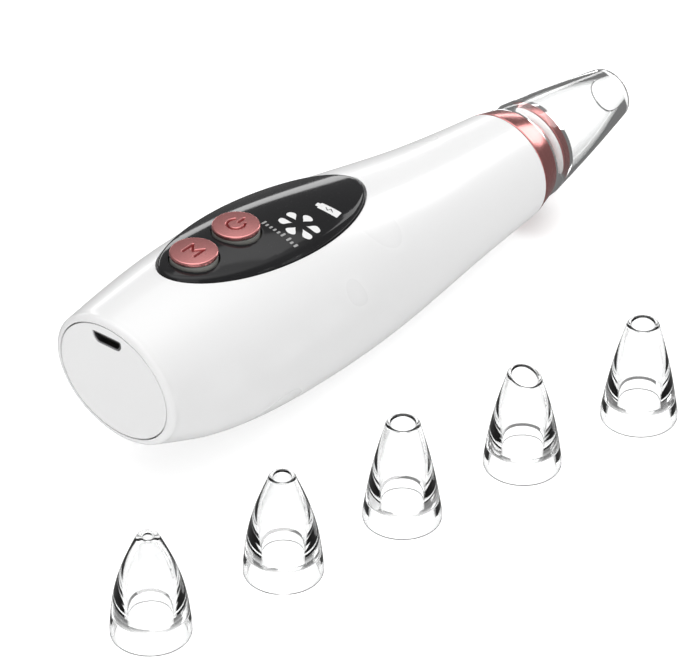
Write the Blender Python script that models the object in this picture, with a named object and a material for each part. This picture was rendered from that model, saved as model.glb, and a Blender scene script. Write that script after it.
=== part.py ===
"""Blackhead vacuum extractor with one fitted suction head and five spare heads.

The hand piece lies on the flat of its belly with the control panel up and its
nose towards +X.  Lengths are metres.  Along the body, x is counted from the
tail face; every height z is counted from the surface that the flat lies on.
The origin of the scene is the middle of that flat.
"""
import math
from dataclasses import dataclass

import bmesh
import bpy
import numpy as np
from mathutils import Matrix, Vector

# ------------------------------------------------------------------ driving sizes
GAP = 0.0003                  # clearance between pieces that touch
BODY_LENGTH = 0.1336          # tail face to the back of the nose band
BODY_RADIUS = 0.0217          # largest radius of the round body
TAIL_RADIUS = 0.0160
NOSE_RADIUS = 0.0136
TAIL_RISE = 0.0133            # how far the tail's middle lies above the nose's
NOSE_AXIS_HEIGHT = 0.0150     # nose axis above the flat that the body lies on
REST_X = 0.0720               # tail face to the middle of the resting flat
WALL = 0.0024
TAIL_SLANT = math.radians(7.3)
SLANT_LENGTH = 0.016          # the slant of the tail face dies out over this length
TAIL_ROUND = 0.0013

CAP_THICKNESS = 0.0019
CAP_SKIRT_LENGTH = 0.0035
CAP_SKIRT_WALL = 0.0015

PANEL_MIDDLE = 0.0490
PANEL_HALF_LENGTH = 0.0314
PANEL_HALF_WIDTH = 0.0126
PANEL_PROUD = 0.0004          # panel above the body along its ridge
PANEL_CROSS_RADIUS = 0.026    # flatter across than the body, so its long edges stand up
PANEL_ROUND = 0.0010
PANEL_SEAT_DEPTH = 0.0015
PANEL_LEDGE = 0.0016

BUTTON_RADIUS = 0.0052
BUTTON_SPACE = 0.0017         # between the two flanges
FIRST_BUTTON_X = 0.0264
BUTTON_HEIGHT = 0.0016        # button top above the panel
BUTTON_CAP_THICKNESS = 0.0009
BUTTON_TRAVEL = 0.0006
BUTTON_FLANGE = 0.0008        # how far the flange reaches past the skirt
BUTTON_FLANGE_THICKNESS = 0.0008
STEM_RADIUS = 0.0016
BUTTON_PITCH = 2 * (BUTTON_RADIUS + BUTTON_FLANGE) + BUTTON_SPACE
BUTTON_XS = {"mode": FIRST_BUTTON_X, "power": FIRST_BUTTON_X + BUTTON_PITCH}

BOARD_TOP = 0.0360
BOARD_THICKNESS = 0.0016
BOARD_START, BOARD_END = 0.0190, 0.0660
BOARD_HALF_WIDTH = 0.0095
BOARD_CORNER_INSET = 0.0028
SWITCH_SIZE = 0.0060
SWITCH_HEIGHT = 0.0030
SWITCH_PLUNGER_RADIUS = 0.0016
SWITCH_PLUNGER_HEIGHT = 0.0008
LED_SIZE = 0.0020
LED_XS = (0.0490, 0.0535, 0.0580)
ICON_Y = -0.0055              # the lit marks lie on this side of the ridge
SCREW_RADIUS = 0.0008
SCREW_HEAD_RADIUS = 0.0017
SCREW_HEAD_TAPER = 0.8
SCREW_LENGTH = 0.0050
CHIP_START, CHIP_SIZE, CHIP_THICKNESS = 0.0340, 0.0080, 0.0016
LIGHT_GUIDE_REACH = 0.0040    # to each side of the row of lamps

PLATE_TOP = 0.0256
PLATE_THICKNESS = 0.0016
PLATE_START, PLATE_END = 0.0075, 0.0680
POST_RADIUS = 0.0021
BATTERY_RADIUS = 0.0071
BATTERY_LENGTH = 0.0430
BATTERY_START = 0.0220
BATTERY_AXIS_HEIGHT = 0.0162
BATTERY_RIB_THICKNESS = 0.0022
BATTERY_RIB_INSET = 0.0069    # rib middle from either end of the cell
BATTERY_ROOM_SPARE = 0.0050   # the cell's channel runs past its back end
BATTERY_TIP = 0.0008
BATTERY_POLE_RADIUS = 0.0028

PORT_HEIGHT = 0.0109          # charging port above the middle of the tail face
PORT_WIDTH = 0.0075
PORT_TALLNESS = 0.0026
PORT_DEPTH = 0.0056
PORT_WALL = 0.0004
TONGUE_THICKNESS = 0.0007
CHARGE_BOARD_END = 0.0170
CHARGE_BOARD_HALF_WIDTH = 0.0055
CHARGE_BOARD_THICKNESS = 0.0012
CHARGE_POST_X, CHARGE_POST_Y = 0.0120, 0.0030
PORT_BEVEL = 0.0005
TONGUE_BACK = 0.0008          # tongue behind the port's mouth

MOTOR_START = 0.0700
MOTOR_LENGTH = 0.0200
MOTOR_RADIUS = 0.0102
MOTOR_BOSS_RADIUS, MOTOR_BOSS_LENGTH = 0.0035, 0.0015
MOTOR_EDGE = 0.0008
SHAFT_RADIUS = 0.0010
SHAFT_SEAT = 0.0018           # shaft inside the crank
BEARING_DEPTH = 0.0045
CRANK_RADIUS = 0.0058
CRANK_OFFSET = 0.0016
CRANK_THICKNESS = 0.0022
CRANK_PIN_LENGTH = 0.0016
PUMP_RADIUS = 0.0120
PUMP_HOUSING_LENGTH = 0.0077
PUMP_WALL = 0.0016
DIAPHRAGM_THICKNESS = 0.0015
DIAPHRAGM_BOSS_RADIUS, DIAPHRAGM_BOSS_LENGTH = 0.0025, 0.0012
DIAPHRAGM_BOSS_FOOT = 0.0040
PUMP_COVER_LENGTH = 0.0049
PUMP_COVER_EDGE = 0.0010
BRACKET_START, BRACKET_LENGTH = 0.0760, 0.0060
BRACKET_TOP = 0.0290

NIPPLE_RADIUS = 0.0016
NIPPLE_BORE = 0.0008
NIPPLE_LENGTH = 0.0050
HOSE_WALL = 0.0009

BAND_LENGTH = 0.0060
BAND_FRONT_RADIUS = 0.0121
BAND_PLUG_LENGTH = 0.0052
SPIGOT_RADIUS = 0.0102
SPIGOT_LENGTH = 0.0070        # beyond the front of the band
SPIGOT_TUBE_RADIUS = 0.0070   # where it passes through the band
SPIGOT_BORE = 0.0060
RING_SECTION = 0.0009         # radius of the sealing ring's round section
RING_PLACE = 0.0035           # sealing ring ahead of the band's front face
NOSE_EDGE = 0.0004
FILTER_CAP_RADIUS = 0.0087
FILTER_CAP_THICKNESS = 0.0011
FILTER_HOLE_RADIUS = 0.0008
FILTER_HOLE_REACH = 0.0028    # ring of holes round the middle one
FILTER_RING_HOLES = 6
FILTER_LIP_LENGTH, FILTER_LIP_WALL = 0.0018, 0.0011

HEAD_RADIUS = 0.0120
HEAD_WALL = 0.0011            # round the socket
HEAD_HEIGHT = 0.0366
HEAD_SOCKET_DEPTH = 0.0072
HEAD_THROAT_RADIUS = 0.0093   # where the clear cone opens into the socket
HEAD_SKIRT = 0.0030           # upright foot below the cone
SPARE_RADIUS = 0.0084
SPARE_WALL = 0.0009
SPARE_HEIGHT = 0.0243
SPARE_SOCKET_DEPTH = 0.0052
SPARE_THROAT_RADIUS = 0.0053
SPARE_SKIRT = 0.0016
HEAD_RIM_ROUND = 0.0005
INNER_BELLY = 0.0007          # the inner cone swells by this on top of its share
INNER_BELLY_SHARE = 0.6

OVER = 0.001                  # how far a cutter runs past what it cuts
BLANK_HALF = 0.03             # half width of a blank that is trimmed to the body's inside
BLANK_LOW = -0.01             # underside of such a blank
TRIM_START, LIGHT_TRIM_START, TRIM_END = 0.004, 0.03, 0.09
TAIL_ROUND_TURNS = (0.5, 30, 60, 90)
EDGE_SHARES = (0.02, 0.30, 0.65, 1.0)     # steps of the oval's rounded edge
FACE_SHARES = (0.82, 0.62, 0.40, 0.18)    # rings on the oval's face

TURN_STEPS = 24
HEAD_STEPS = 24
BODY_STEPS = 32


# --------------------------------------------------------------------- the outline
def natural_spline(knots, values):
    """Return a function: the natural cubic curve through (knots, values)."""
    knots = np.asarray(knots, float)
    values = np.asarray(values, float)
    count = len(knots)
    step = np.diff(knots)
    system = np.eye(count)
    right = np.zeros(count)
    for i in range(1, count - 1):
        system[i, i - 1:i + 2] = step[i - 1], 2 * (step[i - 1] + step[i]), step[i]
        rise = (values[i + 1] - values[i]) / step[i] - (values[i] - values[i - 1]) / step[i - 1]
        right[i] = 6 * rise
    bend = np.linalg.solve(system, right)

    def curve(x):
        i = int(np.clip(np.searchsorted(knots, x) - 1, 0, count - 2))
        left, gone = knots[i + 1] - x, x - knots[i]
        width = step[i]
        return float((bend[i] * left ** 3 + bend[i + 1] * gone ** 3) / (6 * width)
                     + (values[i] / width - bend[i] * width / 6) * left
                     + (values[i + 1] / width - bend[i + 1] * width / 6) * gone)
    return curve


def blend(a, b, share):
    """Return the value at a share of the way from a to b."""
    return a + (b - a) * share


OUTLINE_XS = [share * BODY_LENGTH for share in (0, 0.15, 0.36, 0.60, 0.80, 1)]
radius_at = natural_spline(OUTLINE_XS, [
    TAIL_RADIUS, blend(TAIL_RADIUS, BODY_RADIUS, 0.70), BODY_RADIUS,
    blend(NOSE_RADIUS, BODY_RADIUS, 0.73), blend(NOSE_RADIUS, BODY_RADIUS, 0.31), NOSE_RADIUS])
axis_at = natural_spline(OUTLINE_XS, [
    NOSE_AXIS_HEIGHT + TAIL_RISE * share for share in (1, 0.78, 0.585, 0.315, 0.125, 0)])


def at(x, y, z):
    """Return the scene place of a point given from the tail face."""
    return Vector((x - REST_X, y, z))


def slant_at(x):
    """Return how far a section leans back per unit of height at x."""
    return math.tan(TAIL_SLANT) * max(0.0, 1 - x / SLANT_LENGTH)


def section(x, radius, steps):
    """Return the ring of points of one body section, leaning with the tail face."""
    ring = []
    for k in range(steps):
        turn = 2 * math.pi * k / steps
        rise = radius * math.cos(turn)
        ring.append(at(x - slant_at(x) * rise, radius * math.sin(turn), axis_at(x) + rise))
    return ring


def skin_height(x, y, offset=0.0):
    """Return the height of the body's upper skin, moved outward by offset."""
    return axis_at(x) + math.sqrt((radius_at(x) + offset) ** 2 - y ** 2)


def panel_height(x, y):
    """Return the height of the panel's face, flatter across than the body."""
    return axis_at(x) + radius_at(x) + PANEL_PROUD - y ** 2 / (2 * PANEL_CROSS_RADIUS)


# --------------------------------------------------------------------- materials
def material(name, colour, roughness, metallic=0.0, alpha=1.0):
    """Return a Principled material."""
    made = bpy.data.materials.new(name)
    made.use_nodes = True
    shader = made.node_tree.nodes["Principled BSDF"]
    shader.inputs["Base Color"].default_value = (*colour, 1.0)
    shader.inputs["Roughness"].default_value = roughness
    shader.inputs["Metallic"].default_value = metallic
    shader.inputs["Alpha"].default_value = alpha
    made.diffuse_color = (*colour, alpha)
    return made


# ----------------------------------------------------------------- modelling tools
def finish(name, mesh_tool, made_of, place=(0, 0, 0), turn=(0, 0, 0), sharp=35):
    """Turn a bmesh into a named, smooth-shaded object of one material."""
    bmesh.ops.recalc_face_normals(mesh_tool, faces=mesh_tool.faces)
    mesh = bpy.data.meshes.new(name)
    mesh_tool.to_mesh(mesh)
    mesh_tool.free()
    mesh.shade_smooth()
    mesh.set_sharp_from_angle(angle=math.radians(sharp))
    mesh.materials.append(made_of)
    made = bpy.data.objects.new(name, mesh)
    made.location = place
    made.rotation_euler = turn
    bpy.context.scene.collection.objects.link(made)
    return made


def box(name, low, high, made_of, bevel=0.0):
    """Make a box between two corners, with its edges bevelled if bevel is given."""
    low, high = Vector(low), Vector(high)
    middle = (low + high) / 2
    tool = bmesh.new()
    bmesh.ops.create_cube(tool, size=1.0, matrix=Matrix.Diagonal((*(high - low), 1)))
    if bevel:
        bmesh.ops.bevel(tool, geom=tool.edges[:], offset=bevel, segments=2, affect="EDGES",
                        profile=0.5)
    return finish(name, tool, made_of, place=middle)


def turned(name, profile, made_of, place=(0, 0, 0), along="Z", steps=TURN_STEPS):
    """Spin a closed outline of (along, radius) points round an axis through place.

    Points at radius 0 close on the axis; the piece lies along Z, or along X.
    """
    tool = bmesh.new()
    points = [tool.verts.new((radius, 0, height)) for height, radius in profile]
    on_axis = [radius == 0 for _, radius in profile]
    edges = []
    for k, point in enumerate(points):
        after = (k + 1) % len(points)
        if not (on_axis[k] and on_axis[after]):
            edges.append(tool.edges.new((point, points[after])))
    bmesh.ops.spin(tool, geom=points + edges, cent=(0, 0, 0), axis=(0, 0, 1),
                   angle=2 * math.pi, steps=steps, use_merge=True)
    bmesh.ops.remove_doubles(tool, verts=tool.verts[:], dist=1e-7)
    turn = (0, math.pi / 2, 0) if along == "X" else (0, 0, 0)
    return finish(name, tool, made_of, place=place, turn=turn)


def loft(name, rings, made_of):
    """Join equal rings of points by faces and close both ends."""
    tool = bmesh.new()
    loops = [[tool.verts.new(point) for point in ring] for ring in rings]
    count = len(loops[0])
    for first, second in zip(loops, loops[1:]):
        for k in range(count):
            tool.faces.new((first[k], first[(k + 1) % count], second[(k + 1) % count], second[k]))
    tool.faces.new(loops[0])
    tool.faces.new(loops[-1])
    return finish(name, tool, made_of)


def cylinder(name, radius, low, high, made_of, place=(0, 0, 0), along="Z", steps=TURN_STEPS):
    """Make a plain cylinder from low to high along an axis."""
    return turned(name, [(low, 0), (low, radius), (high, radius), (high, 0)], made_of,
                  place, along, steps)


def change(target, other, operation="DIFFERENCE"):
    """Apply a Boolean with a guide object, which the build then leaves out."""
    modifier = target.modifiers.new(operation.lower(), "BOOLEAN")
    modifier.operation = operation
    modifier.solver = "EXACT"
    modifier.object = other
    other.hide_render = True
    other.display_type = "WIRE"
    return target


def body_solid(name, offset, start, end, made_of, steps=BODY_STEPS, count=16):
    """Make the body's full shape, moved outward by offset, from start to end."""
    xs = [start + (end - start) * k / (count - 1) for k in range(count)]
    return loft(name, [section(x, radius_at(x) + offset, steps) for x in xs], made_of)


def oval_solid(name, grow, low, high, made_of, edge_round=0.0, steps=36):
    """Make the panel's oval, grown by an amount, between two height functions.

    The upper edge is rounded by lowering the outer rings along a quarter circle.
    """
    insets = [share * edge_round for share in EDGE_SHARES] if edge_round else [0.0]
    length, width = PANEL_HALF_LENGTH + grow, PANEL_HALF_WIDTH + grow
    sizes = [(length - inset, width - inset, inset) for inset in insets]
    sizes += [(length * share, width * share, edge_round) for share in FACE_SHARES]
    tool = bmesh.new()

    def ring(half_length, half_width, height, drop=0.0):
        points = []
        for k in range(steps):
            turn = 2 * math.pi * k / steps
            x = PANEL_MIDDLE + half_length * math.cos(turn)
            y = half_width * math.sin(turn)
            points.append(tool.verts.new(at(x, y, height(x, y) - drop)))
        return points

    def lowering(inset):
        if inset >= edge_round:
            return 0.0
        return edge_round - math.sqrt(edge_round ** 2 - (edge_round - inset) ** 2)

    loops = [ring(a, b, low) for a, b, _ in reversed(sizes[-len(FACE_SHARES):])]
    loops += [ring(length, width, low)]
    loops += [ring(a, b, high, lowering(inset)) for a, b, inset in sizes]
    for first, second in zip(loops, loops[1:]):
        for k in range(steps):
            tool.faces.new((first[k], first[(k + 1) % steps], second[(k + 1) % steps], second[k]))
    for loop, height in ((loops[0], low), (loops[-1], high)):
        middle = tool.verts.new(at(PANEL_MIDDLE, 0, height(PANEL_MIDDLE, 0)))
        for k in range(steps):
            tool.faces.new((loop[k], loop[(k + 1) % steps], middle))
    return finish(name, tool, made_of)


# ------------------------------------------------------------------------ body
def tail_radius_at(x):
    """Return the outer radius with the tail's rounded edge taken off."""
    if x >= TAIL_ROUND:
        return radius_at(x)
    inward = TAIL_ROUND - x
    return radius_at(x) - TAIL_ROUND + math.sqrt(TAIL_ROUND ** 2 - inward ** 2)


CAP_SEAT_RADIUS = TAIL_RADIUS - TAIL_ROUND


def make_shell(looks):
    """Make the one-piece outer sleeve with its two open ends and panel seat."""
    count = 15
    xs = [TAIL_ROUND * (1 - math.cos(math.radians(angle))) for angle in TAIL_ROUND_TURNS]
    xs += [blend(TAIL_ROUND, BODY_LENGTH, k / count) for k in range(1, count + 1)]
    shell = loft("main_shell", [section(x, tail_radius_at(x), BODY_STEPS) for x in xs],
                 looks["white"])
    inside_start = CAP_THICKNESS + GAP
    change(shell, body_solid("guide_inside", -WALL, inside_start, BODY_LENGTH + 2 * OVER,
                             looks["white"]))
    seat = [section(x, CAP_SEAT_RADIUS, BODY_STEPS)
            for x in (-4 * OVER, inside_start + OVER / 10)]
    change(shell, loft("guide_cap_seat", seat, looks["white"]))
    change(shell, oval_solid("guide_panel_seat", GAP,
                             lambda x, y: skin_height(x, y, -PANEL_SEAT_DEPTH),
                             lambda x, y: skin_height(x, y, 6 * OVER), looks["white"]))
    change(shell, oval_solid("guide_panel_opening", -PANEL_LEDGE,
                             lambda x, y: skin_height(x, y, -WALL - 2 * OVER),
                             lambda x, y: skin_height(x, y, 7 * OVER), looks["white"]))
    for name, x in BUTTON_XS.items():
        change(shell, cylinder("guide_flange_room_" + name, BUTTON_RADIUS + BUTTON_FLANGE + GAP,
                               BOARD_TOP - BOARD_THICKNESS,
                               skin_height(x, 0, -PANEL_SEAT_DEPTH) - WALL / 4, looks["white"],
                               place=at(x, 0, 0)))
    change(shell, box("guide_resting_flat", at(0, -BLANK_HALF, BLANK_LOW),
                      at(BODY_LENGTH, BLANK_HALF, 0), looks["white"]))


def make_tail_cap(looks):
    """Make the cap in the tail with its skirt and the port's opening."""
    outer = [section(x, CAP_SEAT_RADIUS - GAP, BODY_STEPS) for x in (0, CAP_THICKNESS)]
    cap = loft("tail_cap", outer, looks["white"])
    skirt_radius = TAIL_RADIUS - WALL - GAP
    skirt_end = CAP_THICKNESS + CAP_SKIRT_LENGTH
    skirt = loft("guide_cap_skirt", [section(x, skirt_radius, BODY_STEPS)
                                     for x in (CAP_THICKNESS / 2, skirt_end)], looks["white"])
    hollow = loft("guide_cap_hollow", [section(x, skirt_radius - CAP_SKIRT_WALL, BODY_STEPS)
                                       for x in (CAP_THICKNESS, skirt_end + OVER)],
                  looks["white"])
    change(cap, skirt, "UNION")
    change(cap, hollow)
    middle = axis_at(0) + PORT_HEIGHT
    half, tall = PORT_WIDTH / 2 + GAP, PORT_TALLNESS / 2 + GAP
    change(cap, box("guide_port_hole", at(-10 * OVER, -half, middle - tall),
                    at(skirt_end + 2 * OVER, half, middle + tall), looks["white"]))


# ------------------------------------------------------------------ control panel
def make_panel(looks):
    """Make the domed dark window that the buttons come through."""
    panel = oval_solid("panel_window", 0,
                       lambda x, y: skin_height(x, y, GAP - PANEL_SEAT_DEPTH), panel_height,
                       looks["panel"], edge_round=PANEL_ROUND)
    for name, x in BUTTON_XS.items():
        change(panel, cylinder("guide_hole_" + name, BUTTON_RADIUS + GAP, 0.0, BODY_RADIUS,
                               looks["panel"], place=at(x, 0, BOARD_TOP)))


def make_button(name, x, looks):
    """Make one push button: metal-look cap, grey skirt with flange, and stem."""
    top = panel_height(x, 0) + BUTTON_HEIGHT
    cap_low = top - BUTTON_CAP_THICKNESS
    skirt_top = cap_low - GAP
    flange_top = skin_height(x, BUTTON_RADIUS, GAP - PANEL_SEAT_DEPTH) - 2 * GAP
    flange_low = flange_top - BUTTON_FLANGE_THICKNESS
    switch_top = BOARD_TOP + GAP + SWITCH_HEIGHT + SWITCH_PLUNGER_HEIGHT
    place = at(x, 0, top)
    edge = BUTTON_CAP_THICKNESS / 3
    peg_low = skirt_top - BUTTON_CAP_THICKNESS
    turned(name + "_button_cap",
           [(peg_low - top, 0), (peg_low - top, STEM_RADIUS), (cap_low - top, STEM_RADIUS),
            (cap_low - top, BUTTON_RADIUS - edge / 2), (-edge, BUTTON_RADIUS),
            (0, BUTTON_RADIUS - edge), (0, 0)], looks["rose"], place)
    stem_low = switch_top + BUTTON_TRAVEL + GAP
    well_low = peg_low - GAP
    turned(name + "_button_skirt",
           [(stem_low - top, 0), (stem_low - top, STEM_RADIUS), (flange_low - top, STEM_RADIUS),
            (flange_low - top, BUTTON_RADIUS + BUTTON_FLANGE),
            (flange_top - top, BUTTON_RADIUS + BUTTON_FLANGE),
            (flange_top - top, BUTTON_RADIUS), (skirt_top - top, BUTTON_RADIUS),
            (skirt_top - top, STEM_RADIUS + GAP), (well_low - top, STEM_RADIUS + GAP),
            (well_low - top, 0)], looks["grey"], place)
    half = SWITCH_SIZE / 2
    low = BOARD_TOP + GAP
    switch = box(name + "_switch", at(x - half, -half, low), at(x + half, half,
                                                                low + SWITCH_HEIGHT),
                 looks["black"])
    change(switch, cylinder("guide_plunger_" + name, SWITCH_PLUNGER_RADIUS, low + OVER,
                            switch_top, looks["black"], place=at(x, 0, 0), steps=16), "UNION")


# ------------------------------------------------------------------- inner works
def board_corners():
    """Return the places of the control board's four screws."""
    xs = (BOARD_START + BOARD_CORNER_INSET, BOARD_END - BOARD_CORNER_INSET)
    y = BOARD_HALF_WIDTH - BOARD_CORNER_INSET
    return [(x, side * y) for x in xs for side in (-1, 1)]


def make_boards(looks):
    """Make the control board, its chip, lamps, light guide and screws."""
    low = BOARD_TOP - BOARD_THICKNESS
    board = box("control_board", at(BOARD_START, -BOARD_HALF_WIDTH, low),
                at(BOARD_END, BOARD_HALF_WIDTH, BOARD_TOP), looks["board"])
    for k, (x, y) in enumerate(board_corners(), 1):
        change(board, cylinder(f"guide_board_hole_{k}", SCREW_RADIUS + GAP, low - OVER,
                               BOARD_TOP + OVER, looks["board"], place=at(x, y, 0), steps=16))
        head_low = BOARD_TOP + GAP
        turned(f"board_screw_{k}",
               [(head_low - SCREW_LENGTH, 0), (head_low - SCREW_LENGTH, SCREW_RADIUS),
                (head_low, SCREW_RADIUS), (head_low, SCREW_HEAD_RADIUS),
                (head_low + SCREW_RADIUS, SCREW_HEAD_RADIUS * SCREW_HEAD_TAPER),
                (head_low + SCREW_RADIUS, 0)], looks["steel"], at(x, y, 0), steps=16)
    under = low - GAP
    box("controller_chip", at(CHIP_START, -CHIP_SIZE / 2, under - CHIP_THICKNESS),
        at(CHIP_START + CHIP_SIZE, CHIP_SIZE / 2, under), looks["black"])
    half = LED_SIZE / 2
    led_top = BOARD_TOP + GAP + half
    for k, x in enumerate(LED_XS, 1):
        box(f"icon_led_{k}", at(x - half, ICON_Y - half, BOARD_TOP + GAP),
            at(x + half, ICON_Y + half, led_top), looks["lamp"])
    guide = box("icon_light_guide",
                at(LED_XS[0] - LED_SIZE, ICON_Y - LIGHT_GUIDE_REACH, led_top + GAP),
                at(LED_XS[-1] + LED_SIZE, ICON_Y + LIGHT_GUIDE_REACH, led_top + BODY_RADIUS),
                looks["lamp"])
    change(guide, body_solid("guide_light_room", -WALL - GAP, LIGHT_TRIM_START,
                             TRIM_END, looks["lamp"], count=12), "INTERSECT")


def make_chassis(looks):
    """Make the inner plate with board posts and battery ribs, and the cell itself."""
    low = PLATE_TOP - PLATE_THICKNESS
    plate = box("chassis_plate", at(PLATE_START, -BLANK_HALF, low),
                at(PLATE_END, BLANK_HALF, PLATE_TOP), looks["grey"])
    rib_xs = (BATTERY_START + BATTERY_RIB_INSET,
              BATTERY_START + BATTERY_LENGTH - BATTERY_RIB_INSET)
    for k, x in enumerate(rib_xs, 1):
        rib = box(f"guide_rib_{k}", at(x - BATTERY_RIB_THICKNESS / 2, -BLANK_HALF, BLANK_LOW),
                  at(x + BATTERY_RIB_THICKNESS / 2, BLANK_HALF, low + PLATE_THICKNESS / 2),
                  looks["grey"])
        change(plate, rib, "UNION")
    change(plate, body_solid("guide_chassis_room", -WALL - GAP, TRIM_START, TRIM_END,
                             looks["grey"], count=18), "INTERSECT")
    post_top = BOARD_TOP - BOARD_THICKNESS - GAP
    posts = [(x, y, post_top) for x, y in board_corners()]
    charge_low = axis_at(0) + PORT_HEIGHT - PORT_TALLNESS / 2 - GAP - CHARGE_BOARD_THICKNESS
    posts += [(CHARGE_POST_X, side * CHARGE_POST_Y, charge_low - GAP) for side in (-1, 1)]
    for k, (x, y, top) in enumerate(posts, 1):
        change(plate, cylinder(f"guide_post_{k}", POST_RADIUS, PLATE_TOP - PLATE_THICKNESS / 2,
                               top, looks["grey"], place=at(x, y, 0), steps=16), "UNION")
    for k, (x, y) in enumerate(board_corners(), 1):
        pilot_low = BOARD_TOP + GAP - SCREW_LENGTH - GAP
        change(plate, cylinder(f"guide_pilot_{k}", SCREW_RADIUS + GAP, pilot_low,
                               BOARD_TOP, looks["grey"], place=at(x, y, 0), steps=16))
    change(plate, cylinder("guide_battery_room", BATTERY_RADIUS + GAP, 0.0, 2 * BLANK_HALF,
                           looks["grey"], place=at(BATTERY_START - BATTERY_ROOM_SPARE, 0,
                                                   BATTERY_AXIS_HEIGHT), along="X"))
    tip = BATTERY_TIP
    turned("battery_cell",
           [(0, 0), (0, BATTERY_RADIUS - tip / 2), (tip, BATTERY_RADIUS),
            (BATTERY_LENGTH - 2 * tip, BATTERY_RADIUS),
            (BATTERY_LENGTH - tip, BATTERY_RADIUS - tip / 2),
            (BATTERY_LENGTH - tip, BATTERY_POLE_RADIUS), (BATTERY_LENGTH, BATTERY_POLE_RADIUS),
            (BATTERY_LENGTH, 0)], looks["cell"],
           at(BATTERY_START, 0, BATTERY_AXIS_HEIGHT), along="X")


def make_port(looks):
    """Make the charging port: metal shell, tongue and the small board under it."""
    middle = axis_at(0) + PORT_HEIGHT
    start = -math.tan(TAIL_SLANT) * PORT_HEIGHT + GAP
    end = start + PORT_DEPTH
    half, tall = PORT_WIDTH / 2, PORT_TALLNESS / 2
    rim = box("port_shell", at(start, -half, middle - tall), at(end, half, middle + tall),
              looks["steel"], bevel=PORT_BEVEL)
    change(rim, box("guide_port_inside", at(start - OVER, -half + PORT_WALL,
                                            middle - tall + PORT_WALL),
                    at(end + OVER, half - PORT_WALL, middle + tall - PORT_WALL),
                    looks["steel"]))
    reach = half - PORT_WALL - 2 * GAP
    box("port_tongue", at(start + TONGUE_BACK, -reach, middle - TONGUE_THICKNESS / 2),
        at(end, reach, middle + TONGUE_THICKNESS / 2), looks["black"])
    top = middle - tall - GAP
    box("charge_board", at(CAP_THICKNESS + GAP, -CHARGE_BOARD_HALF_WIDTH,
                           top - CHARGE_BOARD_THICKNESS),
        at(CHARGE_BOARD_END, CHARGE_BOARD_HALF_WIDTH, top), looks["board"])


MOTOR_END = MOTOR_START + MOTOR_LENGTH
HOUSING_START = MOTOR_END + GAP
HOUSING_END = HOUSING_START + PUMP_HOUSING_LENGTH
COVER_START = HOUSING_END + 2 * GAP + DIAPHRAGM_THICKNESS
COVER_END = COVER_START + PUMP_COVER_LENGTH


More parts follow.
